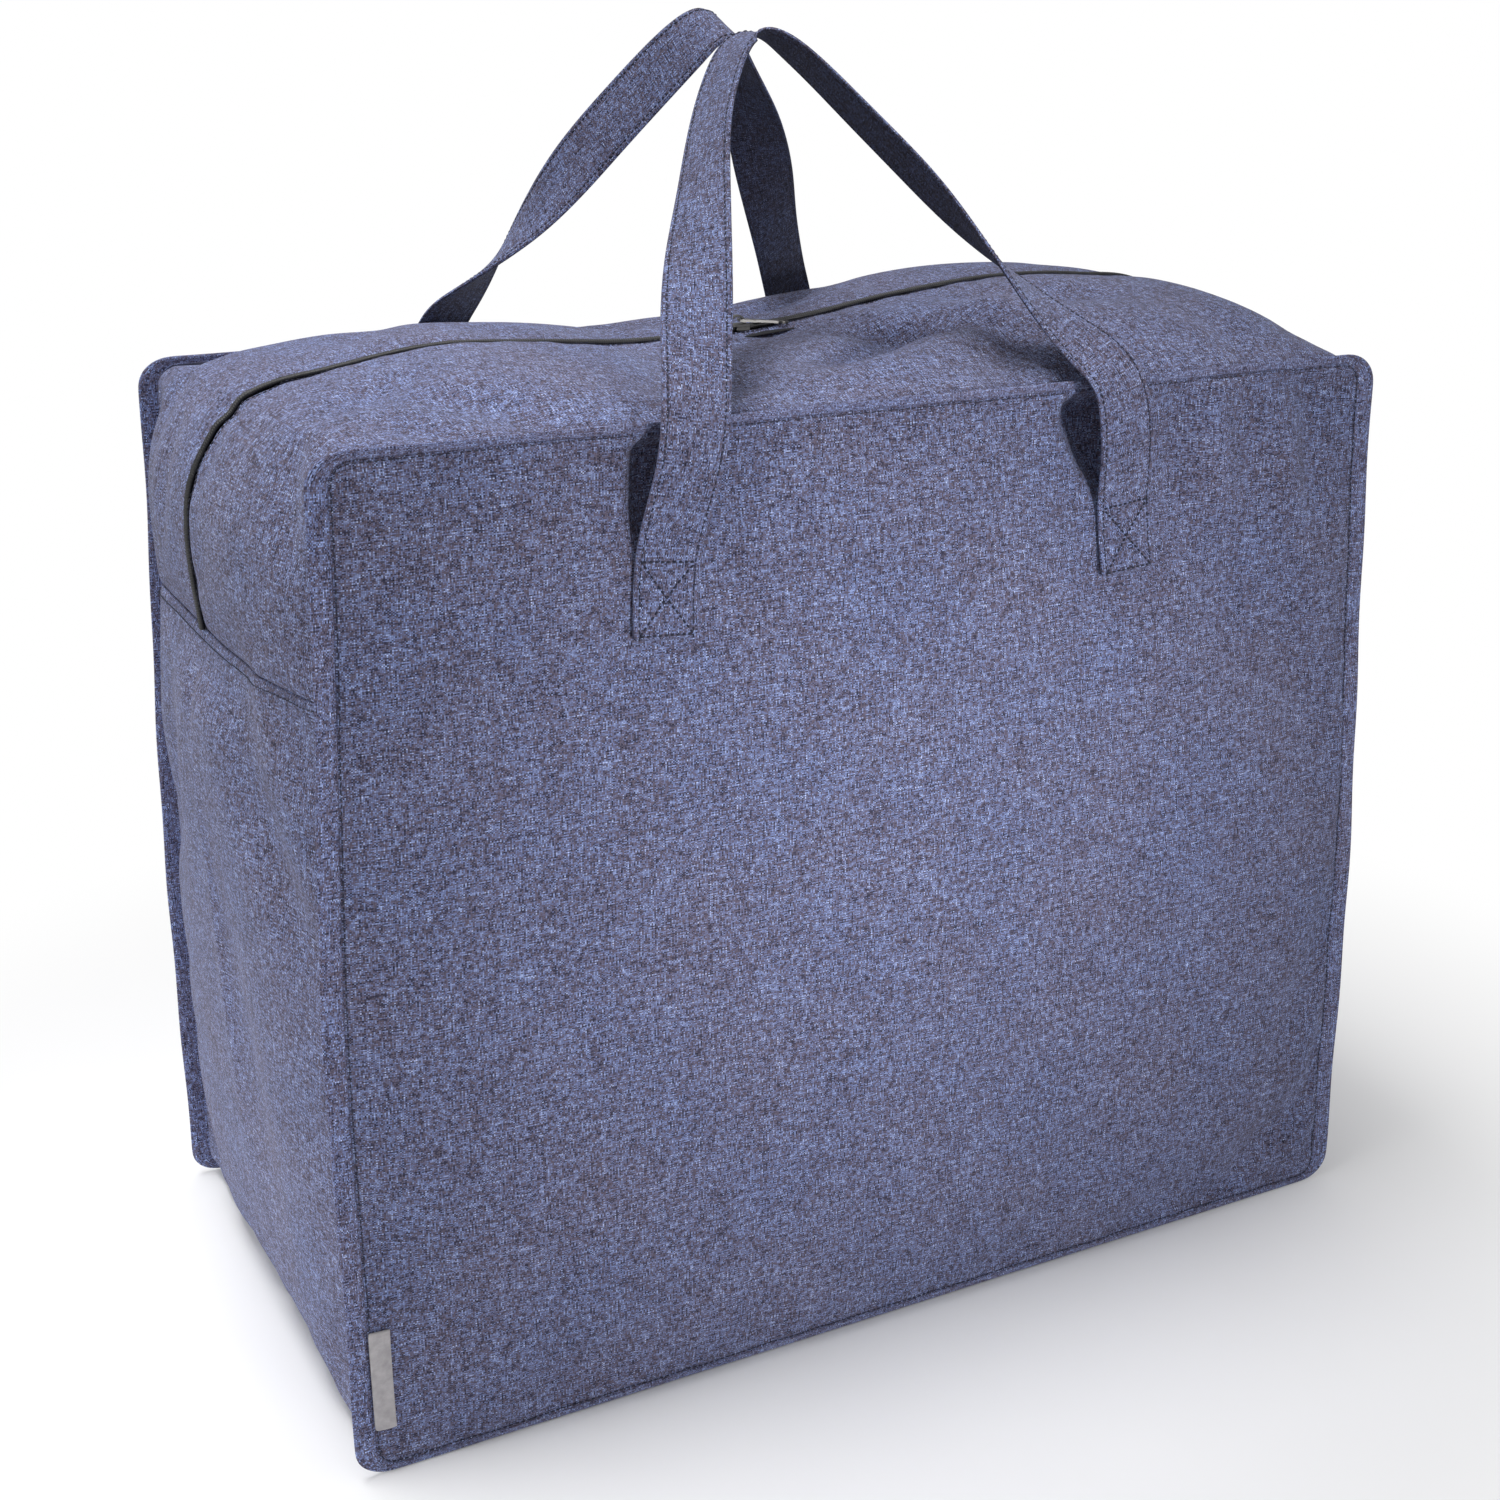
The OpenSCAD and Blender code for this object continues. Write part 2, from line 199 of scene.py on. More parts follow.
# Creases on the strip over the top, as (across, front to back).
TOP_CREASES = (
    ((0.020, -0.085), 28, 0.045, 0.014, 0.0121),
    ((0.062, -0.070), 145, 0.040, 0.013, 0.0097),
    ((0.006, -0.013), -17, 0.022, 0.009, 0.0059),
    ((0.010, -0.118), 8, 0.040, 0.012, -0.0049),
    ((-0.095, -0.115), 12, 0.030, 0.015, 0.0082),
    ((-0.180, -0.030), 6, 0.050, 0.006, 0.0036),
    ((-0.110, -0.024), -5, 0.040, 0.005, 0.0032),
    ((-0.030, -0.030), 8, 0.030, 0.007, 0.0046),
    ((-0.235, -0.075), 35, 0.030, 0.012, 0.0059),
    ((-0.205, -0.120), -40, 0.035, 0.013, 0.0059),
    ((0.085, -0.120), 20, 0.030, 0.014, 0.0082),
    ((0.150, -0.060), -20, 0.055, 0.018, 0.0097),
    ((0.105, -0.075), 30, 0.050, 0.016, -0.0055),
    ((0.060, 0.080), 15, 0.060, 0.018, 0.0082),
    ((-0.200, 0.070), 60, 0.040, 0.014, 0.0065),
    ((-0.060, 0.100), -12, 0.060, 0.016, 0.0055),
    ((0.190, 0.090), -35, 0.050, 0.016, 0.0071),
)
# Creases on the sides, as (front to back, up).
SIDE_CREASES = (
    ((-0.105, 0.300), 62, 0.075, 0.020, 0.0113),
    ((0.120, 0.376), 75, 0.040, 0.014, 0.0113),
    ((0.080, 0.290), 110, 0.070, 0.022, 0.0094),
    ((-0.020, 0.352), 5, 0.060, 0.012, -0.0038),
    ((-0.030, 0.180), 80, 0.090, 0.026, 0.0049),
    ((0.100, 0.445), 80, 0.040, 0.012, 0.0049),
    ((0.060, 0.450), 86, 0.035, 0.010, 0.0033),
    ((-0.130, 0.460), 60, 0.030, 0.012, 0.0045),
)
# Hollow that each strap holds open in the panel, to the left of it.
HOLLOW_DEPTH = 17.5 * MM
HOLLOW_REACH = 10 * MM
HOLLOW_WALL = 5 * MM
# The filled panel's soft belly, which ends at BELLY_TOP.
BELLY, BELLY_TOP = 4.2 * MM, 0.47


def edge_distance(x, z):
    """Distance from the nearest edge of a panel."""
    return np.minimum(np.minimum(x + BASE_X, BASE_X - x), np.minimum(z - FLOOR_Z, BASE_Z - z))


def panel_relief(x, z):
    """How far a panel stands out from its plane, apart from its sunk seam line."""
    fade = smooth(edge_distance(x, z) / 0.012)
    out = BELLY * np.clip(1 - (x / BASE_X) ** 4, 0, 1) * np.sin(math.pi * np.clip(z / BELLY_TOP, 0, 1))
    out = out - sum(crease(x, z, *c) for c in PANEL_CREASES)
    for side in (-1, 1):
        left = side * strap_x(side, z)
        wall = left - STRAP_W / 2 - HOLLOW_REACH * smooth((z - FOLD_Z) / 0.04)
        inside = smooth((x - wall) / HOLLOW_WALL) * (1 - smooth((x - left) / (STRAP_W * 0.7)))
        tall = smooth((z - FOLD_Z + 0.006) / 0.022) * (1 - smooth((z - BASE_Z + 0.006) / 0.006))
        out = out - HOLLOW_DEPTH * inside * tall
    return out * fade


# Middle of each strap: at its foot, at the fold and at the top edge.
STRAP_PATH = {-1: (0.1320, 0.1290, 0.1170), 1: (0.1305, 0.1275, 0.1150)}


def strap_x(side, z):
    """Distance of a strap's middle from the bag's middle, at height z."""
    foot, fold, ridge = STRAP_PATH[side]
    lower = foot + (fold - foot) * np.clip((z - FOOT_Z) / (FOLD_Z - FOOT_Z), 0, 1)
    return lower + (ridge - fold) * np.clip((z - FOLD_Z) / (RIDGE_Z - FOLD_Z), 0, 1.2)


# ---------- meshes ----------

def quads(columns, rows, closed=False):
    """Faces of a grid of points stored column by column."""
    c = np.arange(columns if closed else columns - 1)[:, None]
    r = np.arange(rows - 1)[None, :]
    a = c * rows + r
    b = (c + 1) % columns * rows + r
    return np.stack([a, a + 1, b + 1, b], -1).reshape(-1, 4)


def tube_faces(rings, points, capped=True):
    """Faces of a closed outline swept through several rings."""
    i = np.arange(rings - 1)[:, None]
    k = np.arange(points)[None, :]
    n = (k + 1) % points
    sides = np.stack([i * points + k, i * points + n, (i + 1) * points + n, (i + 1) * points + k], -1)
    faces = [list(f) for f in sides.reshape(-1, 4)]
    if capped:
        last = (rings - 1) * points
        faces += [list(range(points))[::-1], [last + j for j in range(points)]]
    return faces


def new_mesh(name, points, faces, uv=None, materials=(), flip=False):
    """An object made of points and faces. uv holds one pair for each point, in metres."""
    faces = [list(map(int, f)) for f in faces]
    if flip:
        faces = [f[::-1] for f in faces]
    mesh = bpy.data.meshes.new(name)
    mesh.from_pydata(np.asarray(points, float).reshape(-1, 3).tolist(), [], faces)
    if uv is not None:
        corner = np.zeros(len(mesh.loops), np.int32)
        mesh.loops.foreach_get("vertex_index", corner)
        layer = mesh.uv_layers.new(name="UVMap")
        layer.data.foreach_set("uv", np.asarray(uv, np.float32).reshape(-1, 2)[corner].ravel())
    for m in materials:
        mesh.materials.append(m)
    mesh.polygons.foreach_set("use_smooth", np.ones(len(mesh.polygons), bool))
    obj = bpy.data.objects.new(name, mesh)
    bpy.context.scene.collection.objects.link(obj)
    return obj


def sheet(name, grid, u, v, materials, flip=False):
    """A sheet through a grid of points. u and v are the lengths along its columns and rows."""
    return new_mesh(name, grid, quads(*grid.shape[:2]), grid_of(u, v), materials, flip)


def apply_modifiers(obj):
    """Puts the object's modifiers into its mesh."""
    graph = bpy.context.evaluated_depsgraph_get()
    mesh = bpy.data.meshes.new_from_object(obj.evaluated_get(graph))
    obj.modifiers.clear()
    obj.data = mesh


def points_of(obj):
    co = np.zeros(len(obj.data.vertices) * 3)
    obj.data.vertices.foreach_get("co", co)
    return co.reshape(-1, 3)


def subdivide(obj, levels=1):
    m = obj.modifiers.new("subdivide", "SUBSURF")
    m.levels = m.render_levels = levels


def thicken(obj, thickness):
    """Adds thickness behind a sheet, in its second material if it has one."""
    m = obj.modifiers.new("thickness", "SOLIDIFY")
    m.thickness = thickness
    m.offset = -1
    m.use_even_offset = True
    m.material_offset = 1 if len(obj.data.materials) > 1 else 0


def weld(obj):
    """Joins points that lie at the same place."""
    m = obj.modifiers.new("weld", "WELD")
    m.merge_threshold = 0.01 * MM


def finish_cloth(obj):
    subdivide(obj)
    thicken(obj, CLOTH_T)
    apply_modifiers(obj)


def stands_for(obj, slot, *nodes):
    """Hides the CAD nodes that the piece replaces. slot, the piece's kind of material, is not used."""
    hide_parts(*nodes)


# ---------- shell: two panels and the strip round them, as one sheet ----------

def grid_line(lo, hi, keep=()):
    """Positions from lo to hi: fine in the corners, else about CELL apart, and through each of keep."""
    stops = sorted([lo + CORNER_R, hi - CORNER_R, *keep])
    fine = [CORNER_R * i / CORNER_CELLS for i in range(CORNER_CELLS + 1)]
    line = [lo + f for f in fine[:-1]]
    for a, b in zip(stops, stops[1:]):
        cells = max(1, round((b - a) / CELL))
        line += list(np.linspace(a, b, cells, endpoint=False))
    return np.array(line + [hi - f for f in fine[::-1]])


def rounded(x, z):
    """Moves points of a panel's square outline onto a round-cornered one. Also gives their heading."""
    cx = np.clip(x, -BASE_X + CORNER_R, BASE_X - CORNER_R)
    cz = np.clip(z, FLOOR_Z + CORNER_R, BASE_Z - CORNER_R)
    u, v = (x - cx) / CORNER_R, (z - cz) / CORNER_R
    hx, hz = u * np.sqrt(1 - v * v / 2), v * np.sqrt(1 - u * u / 2)
    return cx + CORNER_R * hx, cz + CORNER_R * hz, hx, hz


SEAM_GAP = 2.2 * MM
XS = grid_line(-BASE_X, BASE_X)
ZS = grid_line(FLOOR_Z, BASE_Z, keep=(CROSS_Z - SEAM_GAP, CROSS_Z, CROSS_Z + SEAM_GAP))
NX, NZ = len(XS), len(ZS)
HALF_ROWS = np.concatenate([[ZIP_EDGE, 6 * MM, 11 * MM],
                            np.linspace(18 * MM, STRIP_HALF - 7 * MM, 17),
                            [STRIP_HALF - 3 * MM, STRIP_HALF]])
ROWS = np.concatenate([-HALF_ROWS[::-1], [0.0], HALF_ROWS])
MID_ROW = len(HALF_ROWS)
# Grid places round the panel's outline: up the left side, over the top, down the right, back below.
RING = ([(0, j) for j in range(NZ)] + [(i, NZ - 1) for i in range(1, NX)]
        + [(NX - 1, j) for j in range(NZ - 2, -1, -1)] + [(i, 0) for i in range(NX - 2, 0, -1)])
RING_X = np.array([XS[i] for i, j in RING])
RING_Z = np.array([ZS[j] for i, j in RING])
COLS = len(RING)
CROSS_J = int(np.argmin(abs(ZS - CROSS_Z)))
LEFT_COL = CROSS_J
RIGHT_COL = (NZ - 1) + (NX - 1) + (NZ - 1 - CROSS_J)


# Distance of each column along the ring.
RING_S = distances(np.stack(rounded(RING_X, RING_Z)[:2], -1))


def waver(s, seed, size):
    """A slow smooth wobble along s."""
    phases = np.random.default_rng(seed).uniform(0, 2 * math.pi, 4)
    waves = [math.sin(1.0 * k + 1) * np.sin(s * f + phases[k]) for k, f in enumerate((11, 23, 41, 67))]
    return size * sum(waves) / 2


def ring_bulge(x, z, heading_z):
    """How far the strip bulges at its middle, round the ring."""
    top = curve_through(TOP_BULGE, x)
    side = curve_through(SIDE_BULGE, z)
    up = smooth(heading_z)
    return (top * up + side * (1 - up)) * (heading_z > -0.5)


def panel_points(side):
    """Grid of a panel's points. side is -1 for the front and 1 for the rear."""
    x, z = np.meshgrid(XS, ZS, indexing="ij")
    relief = panel_relief(-side * x, z)
    y = RING_Y + PANEL_RISE * smooth(edge_distance(x, z) / (4 * MM)) + relief
    rx, rz, _, _ = rounded(x, z)
    return spread(np.stack([rx, side * y, rz], -1))


def along_top(hz):
    """One over the top of the ring, falling to nothing round its corners."""
    return smooth((hz - 0.3) / 0.5)


# Small puckers where the tape is sewn on, and how far the fabric gives way to a slider.
PUCKER, PUCKER_PITCH, PUCKER_AT = 0.7 * MM, 23 * MM, 8.5 * MM
SLIDER_ROOM = 2.2 * MM


def strip_points():
    """Grid of the strip's points, a column for each place on the ring, and their outward headings."""
    x, z, hx, hz = rounded(RING_X, RING_Z)
    row = ROWS
    t = np.abs(row) / STRIP_HALF
    crown = 1 - t ** np.where(row < 0, CROWN_FRONT, CROWN_REAR)
    out = ring_bulge(x, z, hz)[:, None] * crown[None, :]
    X, Y = np.meshgrid(x, row, indexing="ij")
    Z = np.broadcast_to(z[:, None], X.shape)
    on_top = along_top(hz)[:, None] * smooth((BASE_X - abs(X)) / 0.02)
    on_side = (1 - smooth((abs(hz) - 0.2) / 0.5))[:, None]
    fade = np.clip(1 - t ** 4, 0, 1)[None, :] * smooth(abs(row) / 0.012)[None, :]
    dents = sum(crease(X, Y, *c) for c in TOP_CREASES) * on_top
    turned = np.where(X < 0, Y, -Y)
    dents = dents + sum(crease(turned, Z, *c) for c in SIDE_CREASES) * on_side
    out = out - dents * fade
    heading = np.stack([hx, 0 * hx, hz], -1)
    p = np.stack([X, Y * (RING_Y / STRIP_HALF), Z], -1) + heading[:, None, :] * out[..., None]
    pucker = waver(RING_S, SEED + 40, PUCKER)
    pucker = pucker + PUCKER * 0.6 * np.sin(RING_S * 2 * math.pi / PUCKER_PITCH)
    zipped = ((hz > -0.5) & (z > CROSS_Z))[:, None]
    near_zip = np.exp(-((abs(row) - PUCKER_AT) / (4 * MM)) ** 2)[None, :] * zipped
    p = p + heading[:, None, :] * (pucker[:, None] * near_zip)[..., None]
    for sx in (*SLIDER_X, SLIDER_STOP, -SLIDER_STOP):
        near = np.exp(-((X - sx) / (8 * MM)) ** 2) * (on_top > 0)
        beside = np.exp(-((abs(row) - ZIP_EDGE) / (7 * MM)) ** 2) * np.sign(row)
        p[..., 1] += SLIDER_ROOM * near * beside[None, :]
    return spread(p), heading


FRONT, REAR = panel_points(-1), panel_points(1)
STRIP, HEADING = strip_points()


def shell_indices():
    """Numbers of the shell's points: front panel, rear panel, strip. They share the ring."""
    front = np.arange(NX * NZ).reshape(NX, NZ)
    rear = front + NX * NZ
    strip = 2 * NX * NZ + np.arange(COLS * (len(ROWS) - 2)).reshape(COLS, -1)
    ring_i, ring_j = np.array(RING).T
    strip = np.concatenate([front[ring_i, ring_j][:, None], strip, rear[ring_i, ring_j][:, None]], 1)
    return front, rear, strip


# How the cloth is made and stepped. The cap keeps the folds small.
CLOTH_FRAMES = 20
CLOTH_CAP = 7 * MM
CLOTH_PRESSURE = 0.9
CLOTH_GROWTH = 0.012
TAB_REACH = 40 * MM            # the cloth is held this near the middle of the zip, beside the tabs
LABEL_HOLD = (28 * MM, 8 * MM)  # and this far to the right of and above the label


def held_points(front, rear, strip, count):
    """Marks the shell's points that stay put: seams, zip, base, and cloth by the tabs, label and straps."""
    held = np.zeros(count)
    held[strip[:, [0, -1]]] = 1
    for r in (MID_ROW - 1, MID_ROW, MID_ROW + 1):
        held[strip[LEFT_COL:RIGHT_COL + 1, r]] = 1
    held[strip[RING_Z < FLOOR_Z + 1 * MM]] = 1
    on_top = np.nonzero(RING_Z > BASE_Z - 1 * MM)[0]
    for col in on_top[abs(RING_X[on_top]) < TAB_REACH]:
        held[strip[col, abs(ROWS) < TAB_REACH]] = 1
    near_x = XS < low("side_label")[0] + LABEL_HOLD[0]
    near_z = ZS < high("side_label")[2] + LABEL_HOLD[1]
    held[front[near_x[:, None] & near_z[None, :]]] = 1
    for grid in (front, rear):
        x, z = np.meshgrid(XS if grid is front else -XS, ZS, indexing="ij")
        for side in (-1, 1):
            beside = abs(x - side * strap_x(side, z))
            held[grid[(beside < STRAP_W / 2 + HOLLOW_REACH + HOLLOW_WALL) & (z > FOOT_Z)]] = 1
    return held


def add_cloth(obj, held):
    """A light pressed cloth, pinned where held is one."""
    group = obj.vertex_groups.new(name="held")
    group.add([int(i) for i in np.nonzero(held)[0]], 1.0, "REPLACE")
    m = obj.modifiers.new("cloth", "CLOTH")
    s = m.settings
    s.quality = 6
    s.mass = 0.2
    s.tension_stiffness = s.compression_stiffness = 25
    s.shear_stiffness = 12
    s.bending_stiffness = 3
    s.air_damping = 3
    s.use_pressure = True
    s.uniform_pressure_force = CLOTH_PRESSURE
    s.shrink_min = -CLOTH_GROWTH
    s.vertex_group_mass = "held"
    s.effector_weights.gravity = 0
    m.collision_settings.use_collision = False
    m.point_cache.frame_start, m.point_cache.frame_end = 1, CLOTH_FRAMES


def simulate_shell():
    """Lets the panels and the strip settle as cloth between their seams, the zip and the straps."""
    front, rear, strip = shell_indices()
    count = 2 * NX * NZ + COLS * (len(ROWS) - 2)
    start = np.zeros((count, 3))
    start[front], start[rear] = FRONT, REAR
    start[strip[:, 1:-1]] = STRIP[:, 1:-1]

    def grid_faces(index, closed=False, flip=False):
        local = quads(index.shape[0], index.shape[1], closed)
        faces = index.ravel()[local]
        return faces[:, ::-1] if flip else faces

    faces = np.concatenate([grid_faces(front, flip=True), grid_faces(rear),
                            grid_faces(strip, closed=True, flip=True)])
    obj = new_mesh("shell", start, faces)
    held = held_points(front, rear, strip, count)
    add_cloth(obj, held)
    for f in range(1, CLOTH_FRAMES + 1):
        bpy.context.scene.frame_set(f)
    apply_modifiers(obj)
    bpy.context.scene.frame_set(1)
    moved = points_of(obj) - start
    length = np.linalg.norm(moved, axis=1, keepdims=True)
    moved *= CLOTH_CAP * np.tanh(length / CLOTH_CAP) / np.maximum(length, 1e-9)
    end = start + np.where(held[:, None] > 0, 0, moved)
    bpy.data.objects.remove(obj)
    return end[front], end[rear], end[strip]


# ---------- materials ----------

# Spacing of the threads along and across the cloth.
THREAD_U, THREAD_V = 0.80 * MM, 0.64 * MM


class Paint:
    """A material's node tree, with short ways to add and join nodes."""

    def __init__(self, name):
        self.material = bpy.data.materials.new(name)
        self.material.use_nodes = True
        self.tree = self.material.node_tree
        self.shader = next(n for n in self.tree.nodes if n.type == "BSDF_PRINCIPLED")

    def node(self, kind, inputs=None, **settings):
        n = self.tree.nodes.new("ShaderNode" + kind)
        for k, v in settings.items():
            setattr(n, k, v)
        for k, v in (inputs or {}).items():
            self.put(n.inputs[k], v)
        return n

    def put(self, socket, value):
        if isinstance(value, bpy.types.NodeSocket):
            self.tree.links.new(value, socket)
        else:
            socket.default_value = value

    def math(self, operation, a, b=0.0, c=0.0):
        return self.node("Math", {0: a, 1: b, 2: c}, operation=operation).outputs[0]

    def place(self):
        """Where a point lies in the cloth, in metres: as a vector, along and across."""
        uv = self.node("UVMap").outputs[0]
        split = self.node("SeparateXYZ", {0: uv})
        return uv, split.outputs[0], split.outputs[1]

    def sine(self, value, period):
        return self.math("SINE", self.math("MULTIPLY", value, 2 * math.pi / period))

    def times(self, a, b):
        return self.math("MULTIPLY", a, b)

    def xyz(self, x, y, z):
        return self.node("CombineXYZ", {"X": x, "Y": y, "Z": z}).outputs[0]

    def noise(self, vector, scale=1.0, detail=2.0, roughness=0.5):
        values = {"Vector": vector, "Scale": scale, "Detail": detail, "Roughness": roughness}
        return self.node("TexNoise", values).outputs["Fac"]

    def ramp(self, value, stops):
        n = self.node("ValToRGB", {"Fac": value})
        bar = n.color_ramp.elements
        while len(bar) < len(stops):
            bar.new(0.5)
        for element, (place, colour) in zip(bar, stops):
            element.position = place
            element.color = (*colour, 1)
        return n.outputs["Color"]

    def mix(self, factor, a, b, kind="MIX"):
        values = {0: factor, 6: a, 7: b}
        return self.node("Mix", values, data_type="RGBA", blend_type=kind).outputs[2]

    def mix_value(self, factor, a, b):
        return self.node("Mix", {0: factor, 2: a, 3: b}, data_type="FLOAT").outputs[0]

    def bump(self, height, distance, strength=1.0):
        n = self.node("Bump", {"Height": height, "Distance": distance, "Strength": strength})
        self.put(self.shader.inputs["Normal"], n.outputs[0])

    def finish(self, **values):
        for k, v in values.items():
            self.put(self.shader.inputs[k.replace("_", " ").title().replace("Ior", "IOR")], v)
        return self.material


# How quickly a yarn changes colour along its length, how much, and how much patches of cloth differ.
YARN_SLOW, YARN_QUICK, YARN_CONTRAST, PATCHES = 0.07, 0.26, 1.50, 0.07
# Colours of the yarns, from dark to light.
YARNS = ((0.18, (0.010, 0.011, 0.026)), (0.36, (0.040, 0.040, 0.078)), (0.47, (0.115, 0.098, 0.140)),
         (0.56, (0.125, 0.152, 0.300)), (0.70, (0.235, 0.300, 0.545)), (0.86, (0.46, 0.54, 0.80)))


def weave(name, tone=1.0):
    """A plain weave of mixed blue, navy and brown yarns, drawn thread by thread along the cloth, with
    painted shade where the threads dip and between them.
    """
    p = Paint(name)
    uv, along_u, along_v = p.place()
    drift = p.noise(uv, 45.0, 1.0)
    u = p.math("MULTIPLY_ADD", along_u, 1 / THREAD_U, p.times(drift, 1.5))
    v = p.math("MULTIPLY_ADD", along_v, 1 / THREAD_V, p.times(drift, -1.5))
    i, j = p.math("FLOOR", u), p.math("FLOOR", v)
    across_u = p.sine(p.math("FRACT", u), 2.0)
    across_v = p.sine(p.math("FRACT", v), 2.0)
    warp_up = p.math("FLOORED_MODULO", p.math("ADD", i, j), 2.0)

    def yarn(number, along, seed):
        slow = p.noise(p.xyz(p.times(number, 2.37), p.times(along, YARN_SLOW), seed))
        quick = p.noise(p.xyz(p.times(number, 5.11), p.times(along, YARN_QUICK), seed + 9.0), detail=0.0)
        both = p.mix_value(0.50, slow, quick)
        return p.math("MULTIPLY_ADD", p.math("SUBTRACT", both, 0.5), YARN_CONTRAST, 0.5)

    value = p.mix_value(warp_up, yarn(j, u, 3.0), yarn(i, v, 40.0))
    patch = p.noise(uv, 30.0, 3.0, 0.6)
    value = p.math("ADD", value, p.times(p.math("SUBTRACT", patch, 0.5), PATCHES))
    high_warp = p.times(across_u, p.math("MULTIPLY_ADD", across_v, 0.6, 0.4))
    high_weft = p.times(across_v, p.math("MULTIPLY_ADD", across_u, 0.6, 0.4))
    height = p.mix_value(warp_up, high_weft, high_warp)
    # Painted shade: the colour darkens with the threads' height, at their edges and in the gaps between
    # them; tone scales the brightness of the whole copy.
    shade = p.times(p.math("MULTIPLY_ADD", height, 0.62, 0.68), tone)
    grey = p.node("CombineColor", {0: shade, 1: shade, 2: shade}).outputs[0]
    warm = p.noise(uv, 14.0, 2.0)
    tint = p.ramp(warm, ((0.35, (0.99, 1.0, 0.99)), (0.65, (1.05, 0.99, 0.92))))
    colour = p.mix(1.0, p.ramp(value, YARNS), tint, "MULTIPLY")
    colour = p.mix(1.0, colour, grey, "MULTIPLY")
    p.bump(height, 0.14 * MM, 0.55)
    return p.finish(base_color=colour, roughness=0.88, specular_ior_level=0.22, sheen_weight=0.06,
                    sheen_roughness=0.5)


def coated_back():
    """The dark, closely coated reverse of the cloth."""
    p = Paint("coated_back")
    uv, along_u, along_v = p.place()
    cloudy = p.noise(uv, 60.0, 3.0, 0.6)
    colour = p.ramp(cloudy, ((0.3, (0.040, 0.042, 0.070)), (0.7, (0.070, 0.072, 0.110))))
    p.bump(p.times(p.sine(along_u, 2 * THREAD_U), p.sine(along_v, 2 * THREAD_V)), 0.1 * MM, 0.4)
    return p.finish(base_color=colour, roughness=0.75, specular_ior_level=0.2)


def thread_material():
    p = Paint("sewing_thread")
    at = p.node("TexCoord").outputs["Object"]
    twist = p.node("TexWave", {"Scale": 900.0, "Distortion": 1.0, "Vector": at},
                   bands_direction="DIAGONAL")
    # Painted shade: the thread's colour is darker in the grooves of its twist.
    colour = p.mix(twist.outputs["Fac"], (0.006, 0.007, 0.020, 1), (0.016, 0.018, 0.045, 1))
    p.bump(twist.outputs["Fac"], 0.08 * MM, 0.5)
    return p.finish(base_color=colour, roughness=0.6)


def tape_material():
    p = Paint("zip_tape")
    _, along_u, along_v = p.place()
    height = p.times(p.sine(along_u, 0.9 * MM), p.sine(along_v, 0.7 * MM))
    # Painted shade: the tape's colour is darker where its weave dips and lighter on the crests.
    colour = p.mix(p.math("MULTIPLY_ADD", height, 0.3, 0.5), (0.008, 0.008, 0.010, 1),
                   (0.030, 0.030, 0.036, 1))
    p.bump(height, 0.12 * MM, 0.5)
    return p.finish(base_color=colour, roughness=0.85)


def coil_material():
    p = Paint("zip_coil")
    at = p.node("TexCoord").outputs["Object"]
    worn = p.noise(at, 260.0, 3.0)
    colour = p.ramp(worn, ((0.35, (0.010, 0.010, 0.011)), (0.7, (0.026, 0.025, 0.026))))
    p.bump(worn, 0.05 * MM, 0.3)
    return p.finish(base_color=colour, roughness=p.math("MULTIPLY_ADD", worn, 0.3, 0.3))


def gunmetal():
    """Painted zinc, lighter along its sharp edges."""
    p = Paint("gunmetal")
    at = p.node("TexCoord").outputs["Object"]
    cast = p.noise(at, 900.0, 4.0, 0.6)
    sharpness = p.node("NewGeometry").outputs["Pointiness"]
    # The colour turns lighter along the sharpest edges.
    edge = p.node("MapRange", {"Value": sharpness, "From Min": 0.5, "From Max": 0.62}).outputs[0]
    base = p.ramp(cast, ((0.3, (0.026, 0.026, 0.027)), (0.7, (0.060, 0.058, 0.056))))
    colour = p.mix(edge, base, (0.17, 0.165, 0.16, 1))
    p.bump(cast, 0.05 * MM, 0.35)
    return p.finish(base_color=colour, metallic=0.75, roughness=p.math("MULTIPLY_ADD", cast, 0.25, 0.28))


def ribbon_material():
    """Grey satin ribbon with fine ribs and a little wear."""
    p = Paint("label_ribbon")
    uv, _, along_v = p.place()
    rib = p.sine(along_v, 0.45 * MM)
    cloud = p.noise(uv, 180.0, 3.0, 0.6)
    # Painted shade: the colour darkens in the dips between the ribs; the cloud adds random tone.
    value = p.math("MULTIPLY_ADD", rib, 0.08, cloud)
    colour = p.ramp(value, ((0.3, (0.30, 0.285, 0.295)), (0.7, (0.44, 0.42, 0.43))))
    p.bump(rib, 0.06 * MM, 0.4)
    return p.finish(base_color=colour, roughness=0.48, sheen_weight=0.25)


PANEL_WEAVE = weave("panel_weave", 1.0)
GUSSET_WEAVE = weave("gusset_weave", 1.06)
STRAP_WEAVE = weave("strap_weave", 1.0)
# The edge seam's weave is 1.22 times brighter: painted highlight along the standing seam.
SEAM_HIGHLIGHT_WEAVE = weave("seam_weave", 1.22)
# The strap's underside is the same weave at a third of its brightness: painted shade under the strap.
SHADED_UNDER_WEAVE = weave("strap_under_weave", 0.34)
BACK = coated_back()
THREADS = thread_material()
TAPE = tape_material()
COIL = coil_material()
METAL = gunmetal()
RIBBON = ribbon_material()


# ---------- how far lips would fold in as the zip opens ---

LENS_END, LENS_POWER = 0.262, 0.62   # where the opening ends, and how full its outline is
LIP_FALL = 50 * MM             # the fold fades out over this distance from the seam
LIP_BASE_Z = 0.470             # and it stays above this height
# The share rises or sinks a little where the sliders stop: (place, share of the lip's turn).
SLIDER_LIFT = ((-SLIDER_STOP, -0.070), (SLIDER_STOP, 0.046))


